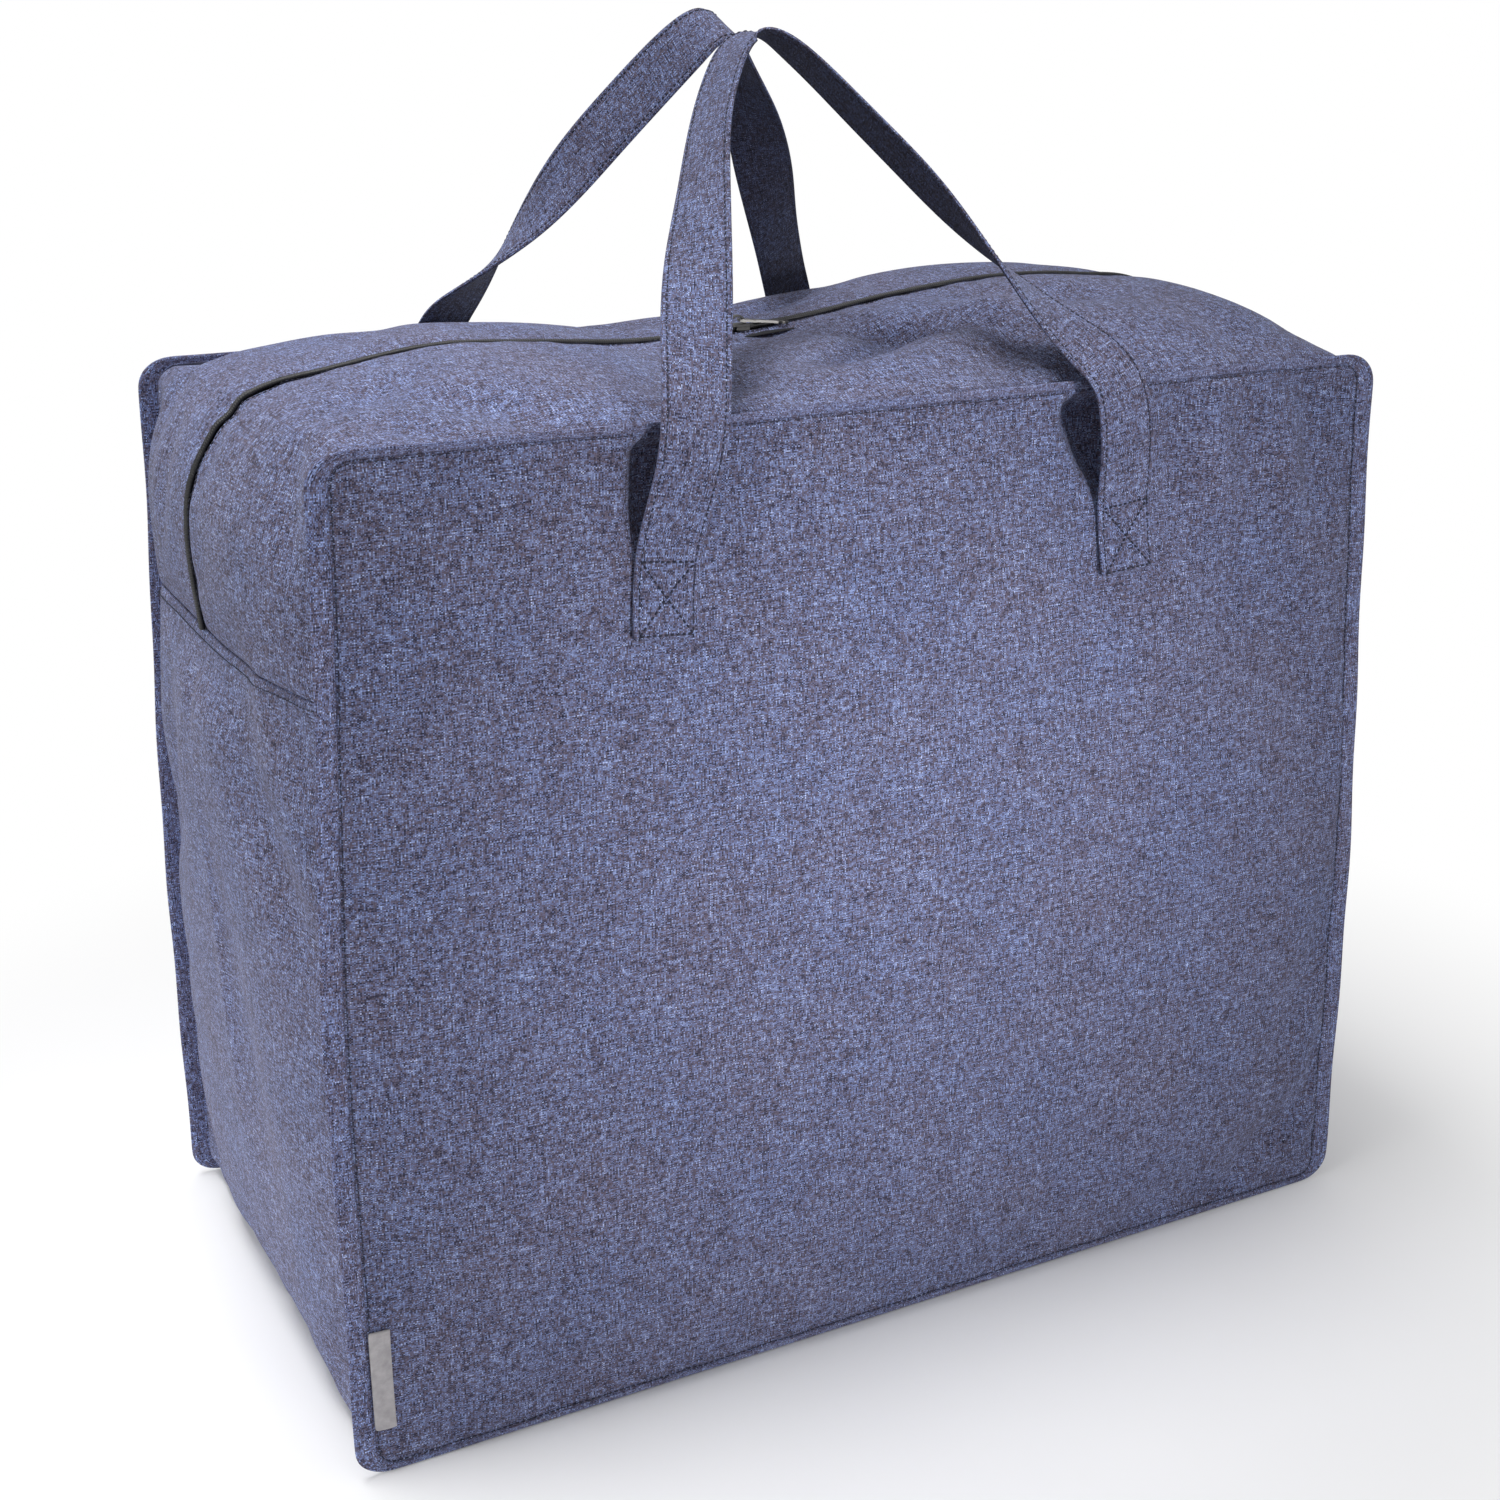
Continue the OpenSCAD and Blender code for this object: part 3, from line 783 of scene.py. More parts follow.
def lip_share(p):
    """How far a point follows its lip: none at the seams and the ends, all along the zip."""
    x = p[:, 0]
    lens = np.clip(np.cos(math.pi / 2 * np.clip(x / LENS_END, -1, 1)), 0, 1) ** LENS_POWER
    inward = (RING_Y + SPREAD_Y[0] - np.abs(p[:, 1])) / LIP_FALL
    on_top = smooth((p[:, 2] - LIP_BASE_Z) / 0.02)
    for stop, share in SLIDER_LIFT:
        lens = lens + share * np.exp(-((x - stop) / 0.016) ** 2)
    return lens * smooth(inward) * on_top


def bend_with_lip(obj):
    """Bakes a piece's placement into its mesh and works out how far each point would follow its lip; that
    share is not used.
    """
    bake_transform(obj)
    share = lip_share(points_of(obj)).astype(np.float32)


# ---------- the sewn body ----------

def panel_piece(side, grid):
    """The front (-1) or rear (1) panel."""
    name = half_of(side) + "_panel"
    obj = sheet(name + "_cloth", grid, XS, ZS, (PANEL_WEAVE, BACK), flip=side < 0)
    finish_cloth(obj)
    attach(obj, "root")
    stands_for(obj, "panel_weave", name)


TUCK = 1.6 * MM                # fabric edges turn in by this much at a seam
# Along the top the strip dips behind the standing seam: how deep, and how far from it.
SEAM_DIP, SEAM_DIP_REACH = 1.5 * MM, 3.5 * MM


def gusset_piece(side, strip):
    """One zipped half of the strip, from the left cross seam over the top to the right one."""
    cols = np.arange(LEFT_COL, RIGHT_COL + 1)
    rows = np.arange(0, MID_ROW) if side < 0 else np.arange(len(ROWS) - 1, MID_ROW, -1)
    p = strip[np.ix_(cols, rows)].copy()
    head = HEADING[cols]
    from_seam = np.abs(np.abs(ROWS[rows]) - STRIP_HALF)
    dip = SEAM_DIP * np.exp(-(from_seam / SEAM_DIP_REACH) ** 2)[None, :] * np.clip(head[:, 2:], 0, 1)
    p -= head[:, None, :] * dip[..., None]
    fold = p[:, -1] - head * TUCK + np.array([0, side * 0.2 * MM, 0])
    p = np.concatenate([p, fold[:, None]], 1)
    # Both ends turn in at the cross seams.
    p[0] -= head[0] * TUCK
    p[-1] -= head[-1] * TUCK
    across = np.append(ROWS[rows], ROWS[rows[-1]] - side * TUCK)
    half = half_of(side)
    obj = sheet(half + "_gusset_cloth", p, RING_S[cols], across, (GUSSET_WEAVE, BACK), flip=side < 0)
    finish_cloth(obj)
    bend_with_lip(obj)
    stands_for(obj, "gusset_weave", half + "_gusset_left", half + "_gusset_right", half + "_lip")


def lower_piece(strip):
    """The lower wall: down the right side, under the base and up the left side."""
    cols = np.concatenate([np.arange(RIGHT_COL, COLS), np.arange(0, LEFT_COL + 1)])
    p = strip[cols].copy()
    head = HEADING[cols]
    for end in (0, -1):
        p[end] -= head[end] * TUCK
    s = np.concatenate([RING_S[RIGHT_COL:], RING_S[-1] + CELL + RING_S[:LEFT_COL + 1]])
    obj = sheet("lower_gusset_cloth", p, s, ROWS, (GUSSET_WEAVE, BACK), flip=True)
    finish_cloth(obj)
    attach(obj, "root")
    stands_for(obj, "gusset_weave", "lower_gusset")


# Outline of the edge seam: (share of its width outwards, millimetres towards the panel's face).
SEAM_OUTLINE = ((-0.10, -0.4), (0.02, 0.35), (0.16, 0.85), (0.34, 1.0), (0.62, 0.95), (0.84, 1.1),
                (0.97, 0.85), (1.02, 0.3), (0.96, -0.1), (0.80, -0.7), (0.50, -0.75), (0.22, -0.7),
                (0.02, -0.7), (-0.10, -0.9))
# Along the top the seam is this share of the CAD seam's width, and it is thinner by TOP_SLIM.
TOP_SHARE, TOP_SLIM = 0.82, 0.15


def edge_seam_piece(side):
    """The folded seam that stands out all round a panel."""
    x, z, hx, hz = rounded(RING_X, RING_Z)
    s = RING_S
    width = SEAM_SIDE * hx ** 2 + SEAM_TOP * TOP_SHARE * np.clip(hz, 0, 1) ** 2
    width = np.maximum(width + SEAM_BASE * np.clip(-hz, 0, 1) ** 2, SEAM_BASE)
    width = width * (1 + waver(s, SEED + side, 0.07))
    lean = waver(s, SEED + 5 + side, 0.8 * MM) * hx ** 2
    outline = np.array(SEAM_OUTLINE) * [1, MM]
    o = outline[:, 0][None, :] * width[:, None]
    y = RING_Y + outline[:, 1][None, :] * (1 - TOP_SLIM * along_top(hz))[:, None]
    y = y - lean[:, None] * np.clip(outline[:, 0], 0, 1)[None, :] ** 2
    p = spread(np.stack([x[:, None] + hx[:, None] * o, side * y, z[:, None] + hz[:, None] * o], -1))
    p[..., 2] = np.maximum(p[..., 2], 0.2 * MM)
    p = np.concatenate([p, p[:1]], 0)
    p = np.concatenate([p, p[:, :1]], 1)
    run = distances(outline * [SEAM_SIDE, 1])
    s, run = np.append(s, s[-1] + CELL), np.append(run, run[-1] + 1 * MM)
    name = half_of(side) + "_edge_seam"
    obj = sheet(name + "_cloth", p, s, run, (SEAM_HIGHLIGHT_WEAVE,), flip=side > 0)
    weld(obj)
    subdivide(obj)
    apply_modifiers(obj)
    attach(obj, "root")
    stands_for(obj, "seam_weave", name)


# ---------- stitching ----------

STITCH_R = 0.32 * MM
STRAP_STITCH_R = 0.38 * MM
BOX_STITCH_R = 0.56 * MM
# A stitch's side view: (place along it, height, thickness). Its ends dive into the cloth.
STITCH_PROFILE = ((-1.0, -0.7, 0.3), (-0.7, 0.25, 0.9), (0.0, 0.6, 1.0), (0.7, 0.25, 0.9), (1.0, -0.7, 0.3))
STITCH_SHARE = 0.72            # of the pitch, that shows on top
SEAM_PITCH, ZIP_STITCH_PITCH = 3.2 * MM, 3.0 * MM


def stitch_mesh(name, rows, pitch, radius=STITCH_R):
    """Short threads along several rows of (points, outward headings), joined in one mesh."""
    angle = np.linspace(0, 2 * math.pi, 6, endpoint=False)[None, :, None]
    local = tube_faces(len(STITCH_PROFILE), angle.size)
    size = len(STITCH_PROFILE) * angle.size
    verts, faces = [], []
    for points, out in rows:
        s = distances(points)
        if s[-1] < pitch:
            continue
        centres = np.arange(pitch / 2, s[-1], pitch)
        n = unit(read_along(out, s, centres))
        d = read_along(points, s, centres + pitch * 0.3) - read_along(points, s, centres - pitch * 0.3)
        w = unit(np.cross(unit(d), n))
        rings = []
        for along, lift, fat in STITCH_PROFILE:
            c = read_along(points, s, centres + along * pitch * STITCH_SHARE / 2) + n * (radius * lift)
            wheel = w[:, None] * np.cos(angle) + n[:, None] * np.sin(angle)
            rings.append(c[:, None] + radius * fat * wheel)
        base = sum(len(v) for v in verts)
        for k in range(len(centres)):
            faces += [[base + k * size + q for q in f] for f in local]
        verts.append(np.stack(rings, 1).reshape(-1, 3))
    obj = new_mesh(name, np.concatenate(verts), faces, None, (THREADS,))
    return obj


# The seam's stitches stand this far out of its sunk line, and less along the top.
SEAM_STITCH_OUT, TOP_STITCH_SINK = 0.5 * MM, 0.25 * MM


def seam_stitches(side, panel):
    """The row of stitches along a panel's sunk seam line."""
    inset = 2
    i, j = np.array(RING).T
    inner = panel[np.clip(i, inset, NX - 1 - inset), np.clip(j, inset, NZ - 1 - inset)]
    ring = inner * 0.25 + panel[i, j] * 0.75
    up = rounded(RING_X, RING_Z)[3]
    ring[:, 1] += side * (SEAM_STITCH_OUT - TOP_STITCH_SINK * along_top(up))
    ring = np.concatenate([ring, ring[:1]])
    out = np.tile([0.0, side, 0.0], (len(ring), 1))
    obj = stitch_mesh(half_of(side) + "_seam_stitches", [(ring, out)], SEAM_PITCH)
    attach(obj, "root")


def along_strip(strip, cols, distance, side):
    """A line on the strip, at a distance from the middle of the zip, and its outward headings."""
    grid = strip[np.asarray(cols)]
    rows = ROWS if side > 0 else -ROWS[::-1]
    grid = grid if side > 0 else grid[:, ::-1]
    line = np.stack([read_along(g, rows, distance) for g in grid])
    return line, HEADING[np.asarray(cols)]


def zip_stitches(side, strip):
    """A row of stitches beside the zip."""
    cols = np.arange(LEFT_COL + 2, RIGHT_COL - 1)
    line, out = along_strip(strip, cols, 4.8 * MM, side)
    rows = [(line + out * 0.25 * MM, out)]
    obj = stitch_mesh(half_of(side) + "_zip_stitches", rows, ZIP_STITCH_PITCH)
    bend_with_lip(obj)


def cross_stitches(strip):
    """Stitches under each cross seam."""
    rows = []
    for col, step in ((LEFT_COL, -1), (RIGHT_COL, 1)):
        a, b = strip[col + step], strip[col + 2 * step]
        line = a * 0.72 + b * 0.28
        out = np.tile(HEADING[col], (len(line), 1))
        rows.append((line[1:-1] + out[1:-1] * 0.3 * MM, out[1:-1]))
    obj = stitch_mesh("cross_seam_stitches", rows, ZIP_STITCH_PITCH)
    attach(obj, "root")


# ---------- zip ----------

Y_AXIS = np.array([0.0, 1.0, 0.0])
# One half of the coil: radius of its strand, and its middle's place beside and above the zip's middle.
COIL_R, COIL_BESIDE, COIL_ABOVE = 1.45 * MM, 0.90 * MM, 0.75 * MM
# The tape's outline: distances from the zip's middle, and how far it lies under the fabric there.
TAPE_BESIDE = np.array([0.2, 3.0, 6.0, 9.0, 12.0]) * MM
TAPE_BELOW = np.array([1.3, 2.3, 2.7, 2.9, 3.1]) * MM


def fine_path(strip, step):
    """The middle of the zip, finely stepped, with its length and outward headings."""
    line = strip[LEFT_COL:RIGHT_COL + 1, MID_ROW]
    chord = distances(line)
    s = np.arange(0, chord[-1], step)
    p = np.stack([curve_through(np.stack([chord, line[:, k]], -1), s) for k in range(3)], -1)
    kernel = np.ones(9) / 9
    for k in range(3):
        p[4:-4, k] = np.convolve(p[:, k], kernel, "valid")
    out = unit(np.cross(unit(np.gradient(p, axis=0)), -Y_AXIS))
    if out[len(out) // 2][2] < 0:
        out = -out
    return p, s, out


def coil_piece(side, strip):
    """One half of the coil: a ribbed strand that meets its mate in the middle."""
    p, s, out = fine_path(strip, ZIP_PITCH / 4)
    phase = 0 if side < 0 else math.pi / 2
    rib = 0.80 + 0.20 * np.abs(np.sin(math.pi * s / ZIP_PITCH + phase))
    angle = np.linspace(0, 2 * math.pi, 8, endpoint=False)[None, :, None]
    centre = p + Y_AXIS * side * COIL_BESIDE + out * COIL_ABOVE
    ring = (centre[:, None] + rib[:, None, None] * COIL_R
            * (Y_AXIS * np.cos(angle) * 1.1 + out[:, None] * np.sin(angle)))
    name = half_of(side) + "_zip_coil"
    obj = new_mesh(name + "_teeth", ring, tube_faces(len(s), angle.size), None, (COIL,))
    bend_with_lip(obj)
    stands_for(obj, "zip_coil", name, "left_zip_coils", "right_zip_coils")


def tape_piece(side, strip):
    """One woven tape, under the fabric beside the coil."""
    p, s, out = fine_path(strip, 4 * MM)
    grid = p[:, None] + Y_AXIS * side * TAPE_BESIDE[None, :, None] - out[:, None] * TAPE_BELOW[None, :, None]
    name = half_of(side) + "_zip_tape"
    obj = sheet(name + "_cloth", grid, s, TAPE_BESIDE, (TAPE,), flip=side < 0)
    thicken(obj, 0.5 * MM)
    apply_modifiers(obj)
    bend_with_lip(obj)
    stands_for(obj, "zip_tape", name, "left_zip_tapes", "right_zip_tapes")


def metal_parts():
    """The sliders and pull tabs keep their CAD shape, with rounded edges."""
    for name in ("left_slider", "right_slider", "left_pull_tab", "right_pull_tab"):
        node = frame["nodes"][name]
        node.data.materials.clear()
        node.data.materials.append(METAL)
        weld(node)
        bevel = node.modifiers.new("bevel", "BEVEL")
        bevel.width = 0.28 * MM
        bevel.segments = 3
        bevel.limit_method = "ANGLE"
        bevel.angle_limit = math.radians(35)


# ---------- handles ----------

# Outline of the strap: (share of its width across, share of its half thickness outwards).
STRAP_FACE = ((-0.5, 0.15), (-0.49, 0.75), (-0.467, 1.0), (-0.434, 0.98), (-0.415, 0.66), (-0.396, 0.98),
              (-0.28, 1.06), (-0.12, 1.04), (0.0, 1.0), (0.12, 1.04), (0.28, 1.06), (0.396, 0.98),
              (0.415, 0.66), (0.434, 0.98), (0.467, 1.0), (0.49, 0.75), (0.5, 0.15))
STITCH_ACROSS = 0.415
STRAP_STEP = 4 * MM
SMOOTHING = 16
RISER_BOW = 2.5 * MM
# Shape of each loop: the top (its last two values are depth and height), then for each leg the reach of
# the curve from the bag's edge and from the top, as (towards the outside, inwards over the bag, up).
LOOP_TOP_AT = {-1: (-0.0137, 0.0200, 0.6662), 1: (-0.0059, 0.0205, 0.6720)}
LEG_FROM_EDGE = {(-1, -1): (-0.012, 0.024, 0.040), (-1, 1): (-0.034, 0.058, 0.034),
                 (1, -1): (-0.030, 0.041, 0.042), (1, 1): (-0.033, 0.041, 0.042)}
LEG_FROM_TOP = {(-1, -1): (0.030, 0.000, -0.034), (-1, 1): (0.022, -0.018, 0.003),
                (1, -1): (0.034, -0.022, -0.024), (1, 1): (0.030, -0.026, -0.026)}
# How each leg turns about its own length: from where to where past the bag's edge, and how many degrees.
LEG_TURN = {(-1, -1): (-0.045, 0.185, 90), (-1, 1): (-0.042, 0.142, 90),
            (1, -1): (-0.045, 0.150, 126), (1, 1): (0.050, 0.300, 126)}


def bezier(a, b, c, d, t):
    t = t[:, None]
    return (1 - t) ** 3 * a + 3 * (1 - t) ** 2 * t * b + 3 * (1 - t) * t * t * c + t ** 3 * d


def even_steps(points, step):
    """Points along a line, evenly spaced."""
    s = distances(points)
    t = np.linspace(0, s[-1], int(round(s[-1] / step)) + 1)
    return read_along(points, s, t), t


def evened(values):
    """Values along a line, smoothed between its ends."""
    for _ in range(SMOOTHING):
        values[1:-1] = (values[:-2] + 2 * values[1:-1] + values[2:]) / 4
    return values


def leg_line(face, side):
    """One leg of a loop, from the top edge of the bag to the top of the loop."""
    x, y, z = LOOP_TOP_AT[face]
    top = np.array([x, face * y, z])
    edge = np.array([side * STRAP_PATH[side][2], face * RIDGE_Y, RIDGE_Z])
    turned = np.array([side, -face, 1.0])
    start = edge + turned * LEG_FROM_EDGE[face, side]
    arrive = top + turned * LEG_FROM_TOP[face, side]
    return bezier(edge, start, arrive, top, np.linspace(0, 1, 60))


def riser_line(side, face, panel_y):
    """The strap from its foot, up the panel and off it, to the bend at the top edge."""
    foot, fold, ridge = STRAP_PATH[side]
    z = np.array([FOOT_Z, FOOT_Z + 0.014, FOOT_Z + 0.028, FOLD_Z - 0.004,
                  FOLD_Z + 0.020, RIDGE_Z - 0.020, RIDGE_Z])
    x = np.array([foot, foot + (fold - foot) * 0.33, foot + (fold - foot) * 0.66, fold,
                  fold + (ridge - fold) * 0.3, fold + (ridge - fold) * 0.75, ridge])
    y = np.array([panel_y(foot, z[0]), panel_y(foot, z[1]), panel_y(fold, z[2]), panel_y(fold, z[3]),
                  FOLD_Y + RISER_BOW, RIDGE_Y + RISER_BOW, RIDGE_Y])
    t = np.linspace(FOOT_Z, RIDGE_Z, 60)
    return np.stack([side * curve_through(np.stack([z, x], -1), t),
                     face * curve_through(np.stack([z, y], -1), t), t], -1)


def strap_frames(centre, turn, face, side_of):
    """Across and outward headings of the strap at each point of its centre line."""
    along = unit(np.gradient(centre, axis=0))
    flat_out = unit(Y_AXIS * face - along * (along @ (Y_AXIS * face))[:, None])
    edge = np.cross(along, flat_out)
    edge *= np.sign((edge * side_of).sum(1, keepdims=True))
    out = np.cos(turn)[:, None] * flat_out + np.sin(turn)[:, None] * edge
    return np.cross(along, out), out


def strap_mesh(name, centre, across, out, s, foot=0):
    """Sweeps the strap's outline along its line. foot is -1 or 1 to close its first or last end."""
    face = np.array(STRAP_FACE)
    outline = np.concatenate([face, face[::-1] * [1, -1]])
    run = distances(outline * [STRAP_W, STRAP_T / 2])
    p = (centre[:, None] + across[:, None] * (outline[:, 0] * STRAP_W)[None, :, None]
         + out[:, None] * (outline[:, 1] * STRAP_T / 2)[None, :, None])
    n = len(outline)
    faces = tube_faces(len(s), n, capped=False)
    if foot:
        last = (len(s) - 1) * n
        faces.append(list(range(n))[::-1] if foot < 0 else [last + j for j in range(n)])
    obj = new_mesh(name, p, faces, grid_of(s, run), (STRAP_WEAVE, SHADED_UNDER_WEAVE))
    # Faces on the strap's underside take the darker weave, painted shade.
    under = np.zeros(len(faces), np.int32)
    k = np.arange((len(s) - 1) * n) % n
    under[:len(k)] = (k >= len(face)) & (k < n - 1)
    obj.data.polygons.foreach_set("material_index", under)
    subdivide(obj)
    apply_modifiers(obj)
    return obj


def strap_turn(face, s, ends):
    """How far the strap has turned about its own length, in radians, at each distance along it."""
    turns = []
    for side, run in ((-1, s), (1, s[-1] - s)):
        start, end, angle = LEG_TURN[face, side]
        run = run - distances(ends[side])[-1]
        turns.append(np.radians(angle) * smooth((run - start) / (end - start)))
    return evened(np.minimum(*turns))


def handle_path(face, panel):
    """A whole handle from foot to foot: its line, across and outward headings, and distances."""
    def panel_y(x, z):
        under = np.nonzero(np.abs(XS - x) < STRAP_W / 2 + 3 * MM)[0]
        j = int(np.clip(np.searchsorted(ZS, z), 1, NZ - 1))
        cloth = np.abs(panel[under[0]:under[-1] + 1, j - 1:j + 1, 1])
        return float(cloth.max()) + STRAP_T / 2 + 0.2 * MM

    ends = {side: riser_line(side, face, lambda x, z, k=side: panel_y(k * x, z)) for side in (-1, 1)}
    legs = {side: leg_line(face, side) for side in (-1, 1)}
    whole = np.concatenate([ends[-1][:-1], legs[-1], legs[1][-2::-1], ends[1][-2::-1]])
    centre, s = even_steps(whole, STRAP_STEP)
    centre = evened(centre)
    before_top = np.arange(len(s)) <= int(np.argmax(centre[:, 2]))
    outer = np.where(before_top, -1.0, 1.0)[:, None] * np.array([[1.0, 0, 0]]) + np.array([0, 0, 0.35])
    across, out = strap_frames(centre, strap_turn(face, s, ends), face, outer)
    wave = waver(s, SEED + 20 + face, 0.7 * MM)[:, None] * smooth((centre[:, 2:] - 0.52) / 0.05)
    return centre + out * wave, across, out, s


def strap_length(name, path, nodes, foot=0):
    """One length of the strap with its two rows of stitches."""
    centre, across, out, _ = path
    obj = strap_mesh(name, *path, foot=foot)
    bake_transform(obj)
    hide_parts(*nodes)
    lift = out * STRAP_T / 2 * 0.76
    rows = [(centre + across * STRAP_W * share + lift, out) for share in (-STITCH_ACROSS, STITCH_ACROSS)]
    sewn = stitch_mesh(name.replace("_strap", "") + "_stitches", rows, SEAM_PITCH, STRAP_STITCH_R)
    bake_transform(sewn)


def build_handle(face, panel):
    """A whole handle: two sewn lengths that run off the panel, and the loop between them."""
    half = half_of(face) + "_handle_"
    path = handle_path(face, panel)
    z = path[0][:, 2]
    cut_z = (FOLD_Z + RIDGE_Z) / 2
    cut_l = int(np.argmax(z > cut_z))
    cut_r = len(z) - 1 - int(np.argmax(z[::-1] > cut_z))
    for word, foot, part in (("left", -1, slice(0, cut_l + 1)), ("right", 1, slice(cut_r, len(z)))):
        nodes = (half + word + "_end", half + word + "_riser")
        length = [v[part] for v in path]
        strap_length(half + word + "_length", length, nodes, foot)
    loop = [v[cut_l:cut_r + 1] for v in path]
    strap_length(half + "loop_strap", loop, (half + "loop",))
    box_stitches(half, *path)


# The stitched box on a strap's end: from and to this far from its foot.
BOX_FROM, BOX_TO = 2.6 * MM, 37 * MM


def box_stitches(half, centre, across, out, s):
    """The stitched box and cross that hold each strap end."""
    rows = []
    w = STRAP_W * STITCH_ACROSS
    corners = {"a": (BOX_FROM, -w), "b": (BOX_FROM, w), "c": (BOX_TO, -w), "d": (BOX_TO, w)}
    for side in (-1, 1):
        turn = slice(None, None, -side)
        at = (s if side < 0 else s[-1] - s)[turn]
        for start, end in ("ab", "cd", "ad", "bc"):
            along, beside = np.linspace(corners[start], corners[end], 12).T
            c, a, o = [read_along(v[turn], at, along) for v in (centre, across * -side, out)]
            rows.append((c + a * beside[:, None] + o * STRAP_T / 2 * 1.02, o))
    obj = stitch_mesh(half + "box_stitches", rows, ZIP_STITCH_PITCH, BOX_STITCH_R)
    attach(obj, "root")
    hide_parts(half + "stitching")


# ---------- label ----------

def label_piece(panel):
    """A blank ribbon folded double, caught in the left seam."""
    lo, hi = low("side_label"), high("side_label")
    width, tall = hi[0] - lo[0], hi[2] - lo[2]
    t, lift = 0.28 * MM, 0.8 * MM
    across = np.linspace(0, 1, 9)
    bend = np.linspace(-90, 90, 7)[1:-1]
    front = [(width * a, lift + 0.5 * MM * math.sin(math.pi * a)) for a in across]
    fold = [(width + lift * 0.5 * math.cos(b), lift * 0.55 - lift * 0.5 * math.sin(b))
            for b in np.radians(bend)]
    back = [(width * a, 0.15 * MM) for a in across[::-1]]
    line = np.array(front + fold + back)
    rows = np.linspace(0, 1, 14)
    j = [int(np.argmin(abs(ZS - (lo[2] + tall * r)))) for r in rows]
    i = int(np.argmin(abs(XS - (lo[0] + width))))
    base = np.array([panel[:i + 2, k, 1].min() for k in j])
    edge_x = np.array([panel[0, k, 0] for k in j])
    p = np.zeros((len(line), len(rows), 3))
    curl = 0.9 * MM * (rows - 0.5) ** 2 * 4
    p[..., 0] = edge_x[None, :] + 0.2 * MM + line[:, 0][:, None]
    p[..., 1] = base[None, :] - 0.6 * MM - line[:, 1][:, None] - curl[None, :] * line[:, :1] / width
    p[..., 2] = lo[2] + tall * rows[None, :]
    obj = sheet("side_label_ribbon", p, distances(line), rows * tall, (RIBBON,))
    subdivide(obj)
    m = obj.modifiers.new("thickness", "SOLIDIFY")
    m.thickness, m.offset = t, 0
    apply_modifiers(obj)
    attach(obj, "root")
    stands_for(obj, "label_ribbon", "side_label")


# ---------- stage ----------

def build_floor():
    """A pale floor that catches the bag's shadow and turns white further away."""
    p = Paint("pale_floor")
    at = p.node("TexCoord").outputs["Object"]
    grain = p.noise(at, 3.0, 4.0)
    colour = p.ramp(grain, ((0.3, (0.86, 0.86, 0.87)), (0.7, (0.90, 0.90, 0.90))))
    away = p.node("VectorMath", {0: at}, operation="LENGTH").outputs["Value"]
    fade = p.node("MapRange", {"Value": away, "From Min": 0.20, "From Max": 0.75},
                  interpolation_type="SMOOTHSTEP").outputs[0]
    seen = p.node("LightPath").outputs["Is Camera Ray"]
    white = p.node("Emission", {"Color": (1, 1, 1, 1), "Strength": 1.0}).outputs[0]
    mix = p.node("MixShader", {0: p.times(fade, seen), 1: p.shader.outputs[0], 2: white})
    out = next(n for n in p.tree.nodes if n.type == "OUTPUT_MATERIAL")
    p.tree.links.new(mix.outputs[0], out.inputs["Surface"])
    material = p.finish(base_color=colour, roughness=0.9)
    reach, z = 12.0, -0.4 * MM
    corners = [(-reach, -reach, z), (reach, -reach, z), (reach, reach, z), (-reach, reach, z)]
    new_mesh("floor", corners, [(0, 1, 2, 3)], None, (material,))


WORLD_LIGHT = 0.51


def build_world():
    """White to the camera, and a soft even light on the bag."""
    world = bpy.data.worlds.new("studio")
    bpy.context.scene.world = world
    world.use_nodes = True
    tree = world.node_tree
    tree.nodes.clear()
    kinds = ("OutputWorld", "LightPath", "MixShader", "Background", "Background")
    out, path, mix, lit, seen = [tree.nodes.new("ShaderNode" + kind) for kind in kinds]
    for node, colour, strength in ((lit, (0.98, 0.98, 1.0, 1), WORLD_LIGHT), (seen, (1, 1, 1, 1), 1.0)):
        node.inputs[0].default_value = colour
        node.inputs[1].default_value = strength
    tree.links.new(path.outputs["Is Camera Ray"], mix.inputs[0])
    tree.links.new(lit.outputs[0], mix.inputs[1])
    tree.links.new(seen.outputs[0], mix.inputs[2])
    tree.links.new(mix.outputs[0], out.inputs[0])


# Soft boxes: name, place, aim, size, spread in degrees, power.
SOFT_BOXES = (("overhead", (-0.55, 0.1, 2.3), (-0.30, 0.05, 0.5), 0.9, 45, 3.6),
              ("front", (0.25, -2.1, 0.50), (0.0, -0.16, 0.32), 0.45, 19, 0.66),
              ("low_left", (-0.90, 0.0, 0.05), (-0.3, 0, 0.02), 0.35, 130, 1.2))


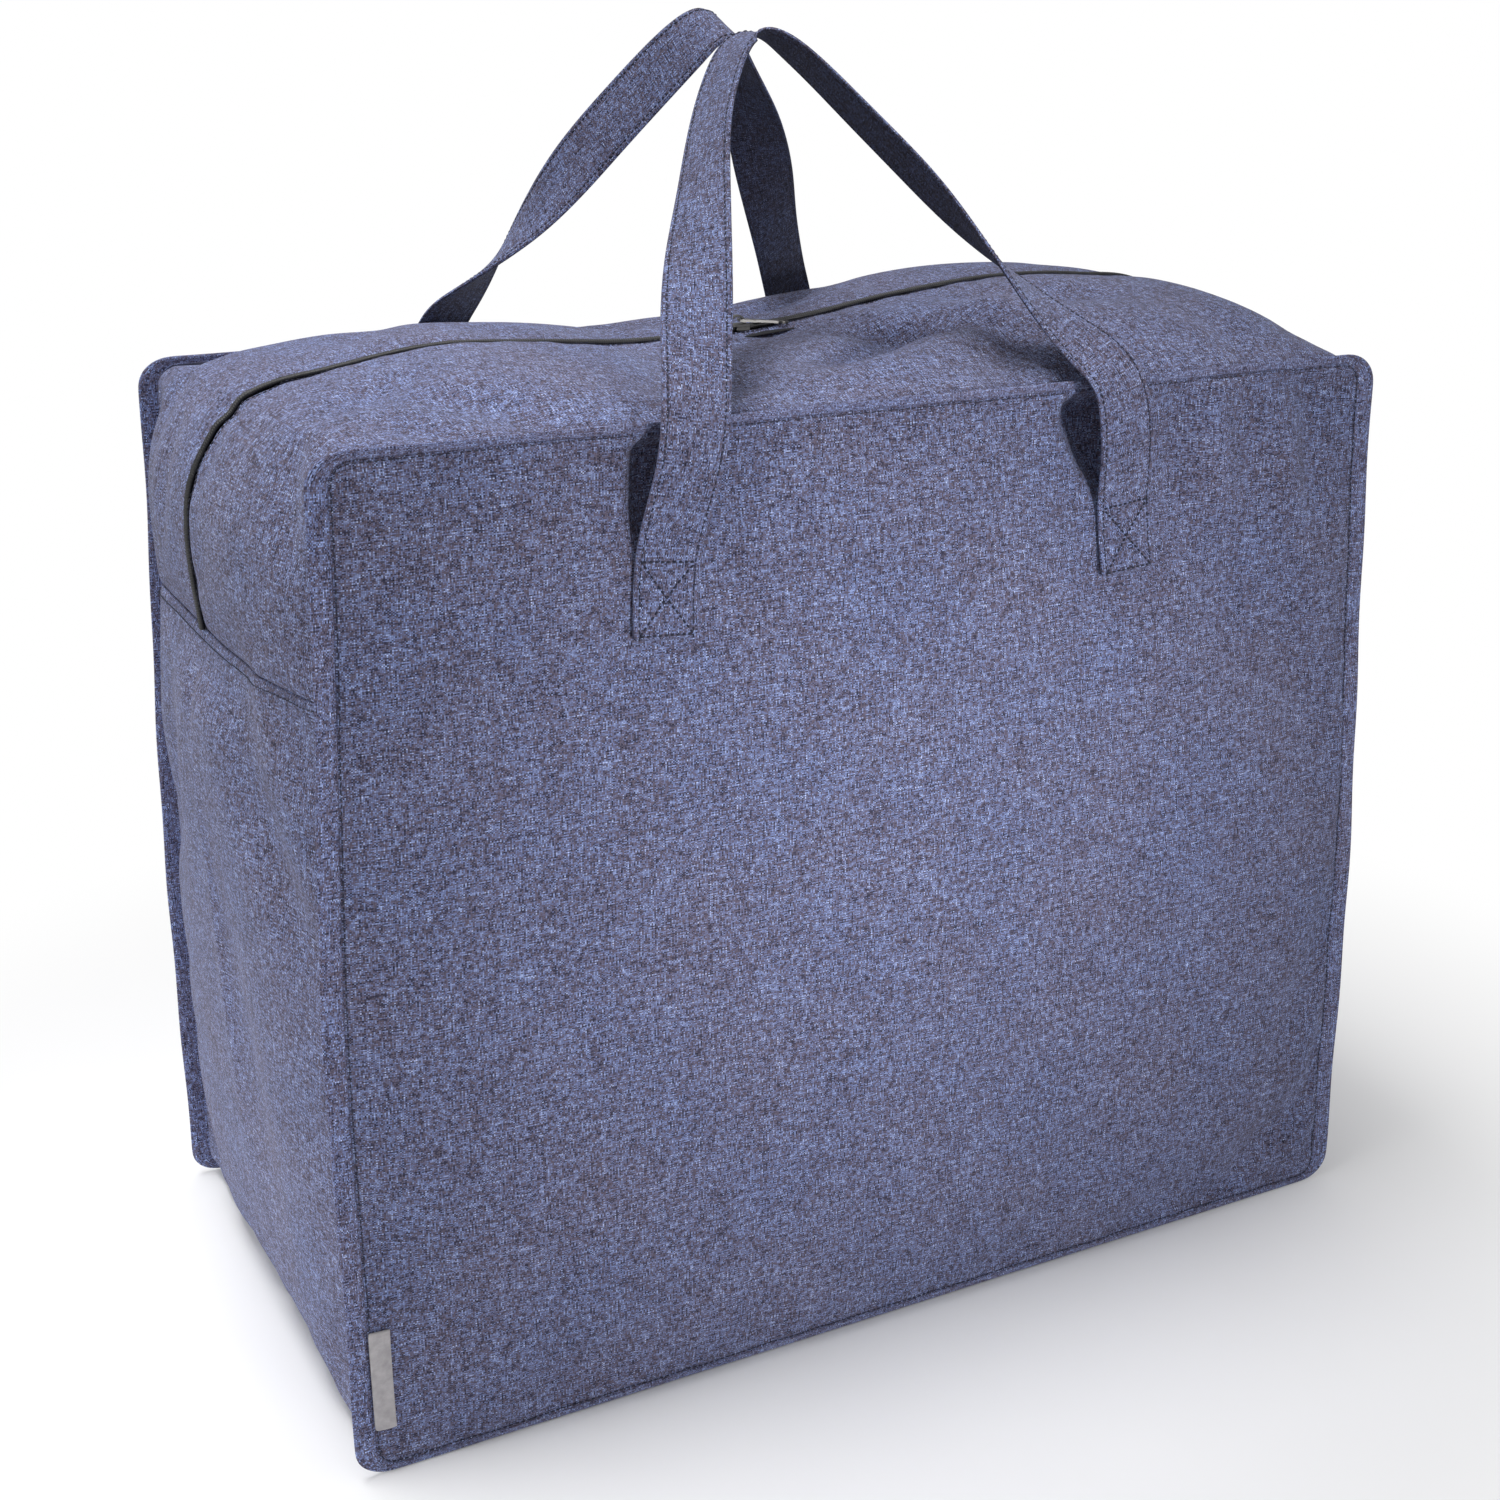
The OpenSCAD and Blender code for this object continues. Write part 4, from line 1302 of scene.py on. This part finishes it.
def stand(name, data, place, rotation):
    """Puts a light or a camera in the scene."""
    obj = bpy.data.objects.new(name, data)
    obj.location = place
    obj.rotation_mode = "QUATERNION"
    obj.rotation_quaternion = rotation
    bpy.context.scene.collection.objects.link(obj)
    return obj


def build_lights():
    for name, place, aim, size, spread_angle, power in SOFT_BOXES:
        data = bpy.data.lights.new(name, "AREA")
        data.size, data.energy = size, power
        data.spread = math.radians(spread_angle)
        light = stand(name, data, place, (Vector(aim) - Vector(place)).to_track_quat("-Z", "Y"))
        light.visible_camera = False


# Where the camera stands: round the bag, above the floor, and its slight roll.
CAMERA_TURN, CAMERA_LIFT, CAMERA_ROLL = -27.48, 18.84, -0.40
CAMERA_FAR = 1.1995
CAMERA_AIM = (0.9 * MM, 8.2 * MM, HEIGHT / 2 + 22.6 * MM)
CAMERA_LENS = 50.01


def build_camera():
    a, e = math.radians(CAMERA_TURN), math.radians(CAMERA_LIFT)
    back = Vector((math.sin(a) * math.cos(e), -math.cos(a) * math.cos(e), math.sin(e)))
    data = bpy.data.cameras.new("camera")
    data.lens = CAMERA_LENS
    data.sensor_width = 36
    data.clip_start = 0.01
    aim = (-back).to_track_quat("-Z", "Y")
    roll = Matrix.Rotation(math.radians(-CAMERA_ROLL), 3, -back).to_quaternion()
    place = Vector(CAMERA_AIM) + back * CAMERA_FAR
    bpy.context.scene.camera = stand("camera", data, place, roll @ aim)


# ---------- build ----------

bpy.context.scene.view_settings.view_transform = "Standard"
front_grid, rear_grid, strip_grid = FRONT, REAR, STRIP
front_grid, rear_grid, strip_grid = simulate_shell()

panel_piece(-1, front_grid)
panel_piece(1, rear_grid)
lower_piece(strip_grid)
for end in (-1, 1):
    grid = front_grid if end < 0 else rear_grid
    gusset_piece(end, strip_grid)
    edge_seam_piece(end)
    seam_stitches(end, grid)
    zip_stitches(end, strip_grid)
    coil_piece(end, strip_grid)
    tape_piece(end, strip_grid)
    build_handle(end, grid)
cross_stitches(strip_grid)
metal_parts()
label_piece(front_grid)

build_floor()
build_world()
build_lights()
build_camera()
